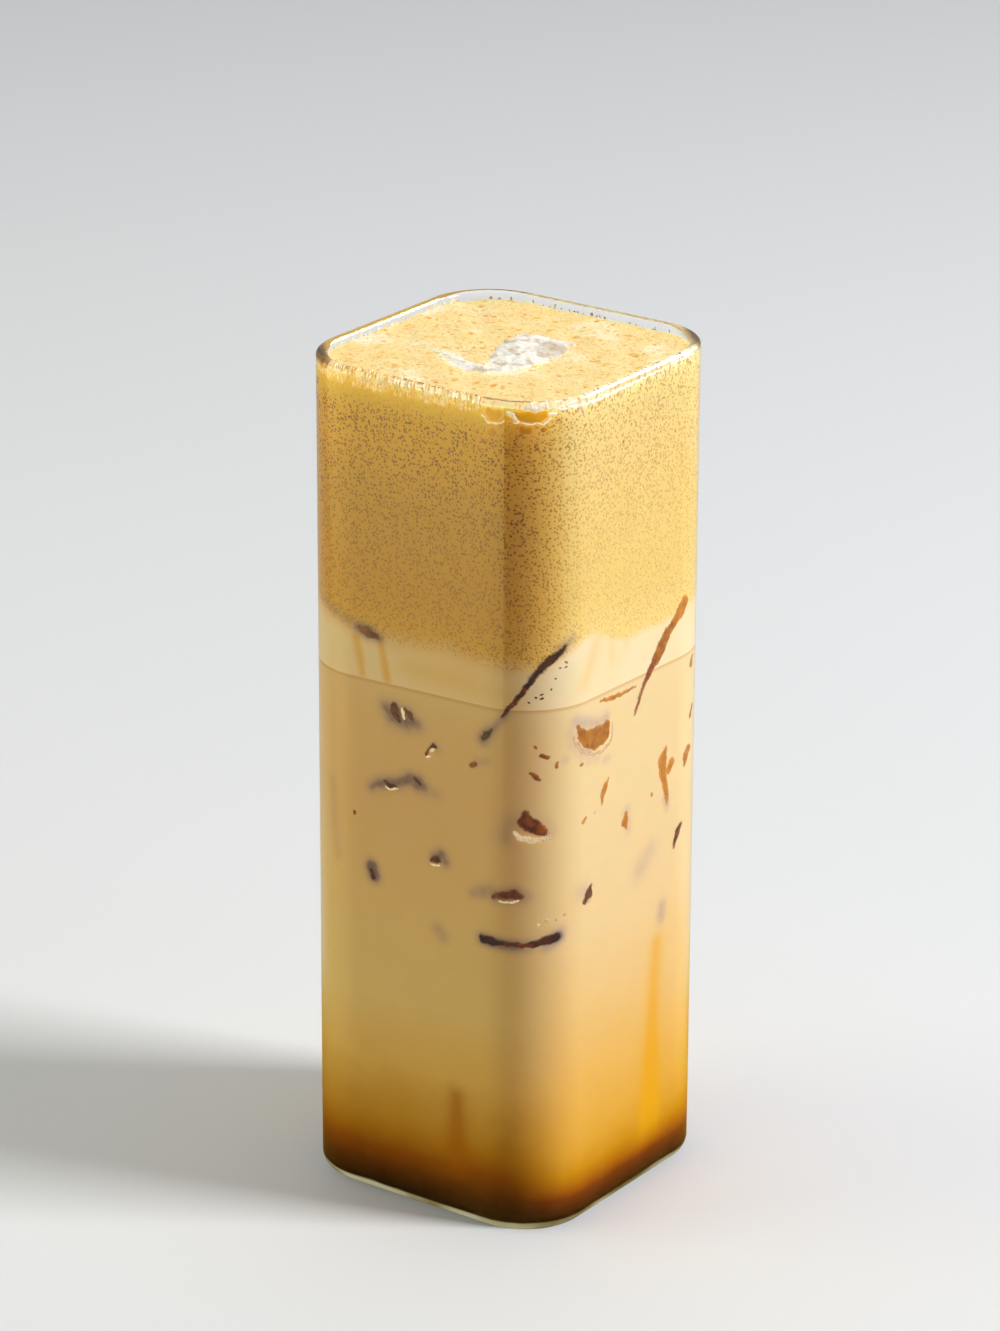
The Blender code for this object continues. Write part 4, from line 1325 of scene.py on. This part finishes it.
def make_world():
    """Pale grey to the eye, and a faint cool light on all that stands in it."""
    world = bpy.data.worlds.new("studio")
    world.use_nodes = True
    tree = world.node_tree
    path = tree.nodes.new("ShaderNodeLightPath")
    backdrop = tree.nodes.new("ShaderNodeBackground")
    backdrop.inputs["Color"].default_value = BACKDROP
    mixed = tree.nodes.new("ShaderNodeMixShader")
    ambient = tree.nodes["Background"]
    ambient.inputs["Color"].default_value = AMBIENT
    ambient.inputs["Strength"].default_value = AMBIENT_STRENGTH
    tree.links.new(path.outputs["Is Diffuse Ray"], mixed.inputs[0])
    tree.links.new(backdrop.outputs[0], mixed.inputs[1])
    tree.links.new(ambient.outputs[0], mixed.inputs[2])
    tree.links.new(mixed.outputs[0], tree.nodes["World Output"].inputs["Surface"])
    bpy.context.scene.world = world


def make_camera():
    data = bpy.data.cameras.new("camera")
    data.lens = CAMERA_LENS
    data.sensor_width = CAMERA_FILM
    data.clip_start = 0.01
    data.clip_end = 50
    camera = bpy.data.objects.new("camera", data)
    azimuth = math.radians(CAMERA_AZIMUTH)
    elevation = math.radians(CAMERA_ELEVATION)
    across = math.cos(elevation)
    back = Vector((math.sin(azimuth) * across, -math.cos(azimuth) * across, math.sin(elevation)))
    camera.rotation_euler = back.to_track_quat("Z", "Y").to_matrix().to_4x4().to_euler()
    camera.rotation_euler.rotate_axis("Z", math.radians(CAMERA_ROLL))
    camera.location = CAMERA_PLACE
    bpy.context.scene.collection.objects.link(camera)
    bpy.context.scene.camera = camera


def main():
    bpy.context.scene.view_settings.view_transform = "Standard"
    make_camera()
    make_world()
    make_floor()
    make_light("key", (0.786, 0.350, 0.58), 2.2, (0.6, 0.6), 50, (1.0, 0.985, 0.97))
    make_light("fill", (-0.80, -0.62, 0.20), 1.2, (0.7, 0.9), 6.6, (1.0, 0.94, 0.54), glossy=False)
    make_light("top", (-0.2, 0.1, 1.0), 1.6, (1.6, 1.6), 11.5, (1.0, 1.0, 1.0))
    make_light("back", (0.30, 0.80, 0.45), 1.4, (0.9, 0.7), 30, (1.0, 1.0, 1.0), diffuse=False)
    make_card()
    make_glass(glass_material())
    make_syrup(coffee_material("dark_syrup"))
    make_coffee(coffee_material("milky_coffee"))
    make_cream(cream_material())
    make_foam(foam_material())
    make_island(milk_material())
    make_traces("sunk_ice", ALL_ICE, ice_material(),
                pitch=0.16, lift=0.02, bulge=0.20, roughness=0.08, soft=1.0)
    froth = froth_material()
    pale = [(PALE_TONE, stroke) for (stroke,) in ALL_FROTH] + drips() + dried_drops()
    make_traces("pale_froth", pale, froth,
                pitch=0.12, lift=0.06, bulge=0.10, roughness=0.10, soft=0.5)
    white = [(WHITE_TONE, stroke) for stroke in CORNER_FROTH_AND_HIGHLIGHT]
    make_traces("corner_froth_and_highlight", white, froth,
                pitch=0.12, lift=0.20, bulge=0.30, roughness=0.14, soft=0.3)
    bubbles = list(CORNER_BUBBLES) + small_bubbles()
    make_traces("foam_bubbles", bubbles, bubble_material(),
                pitch=0.12, lift=0.03, bulge=0.30, roughness=0.06, soft=0.0)


main()
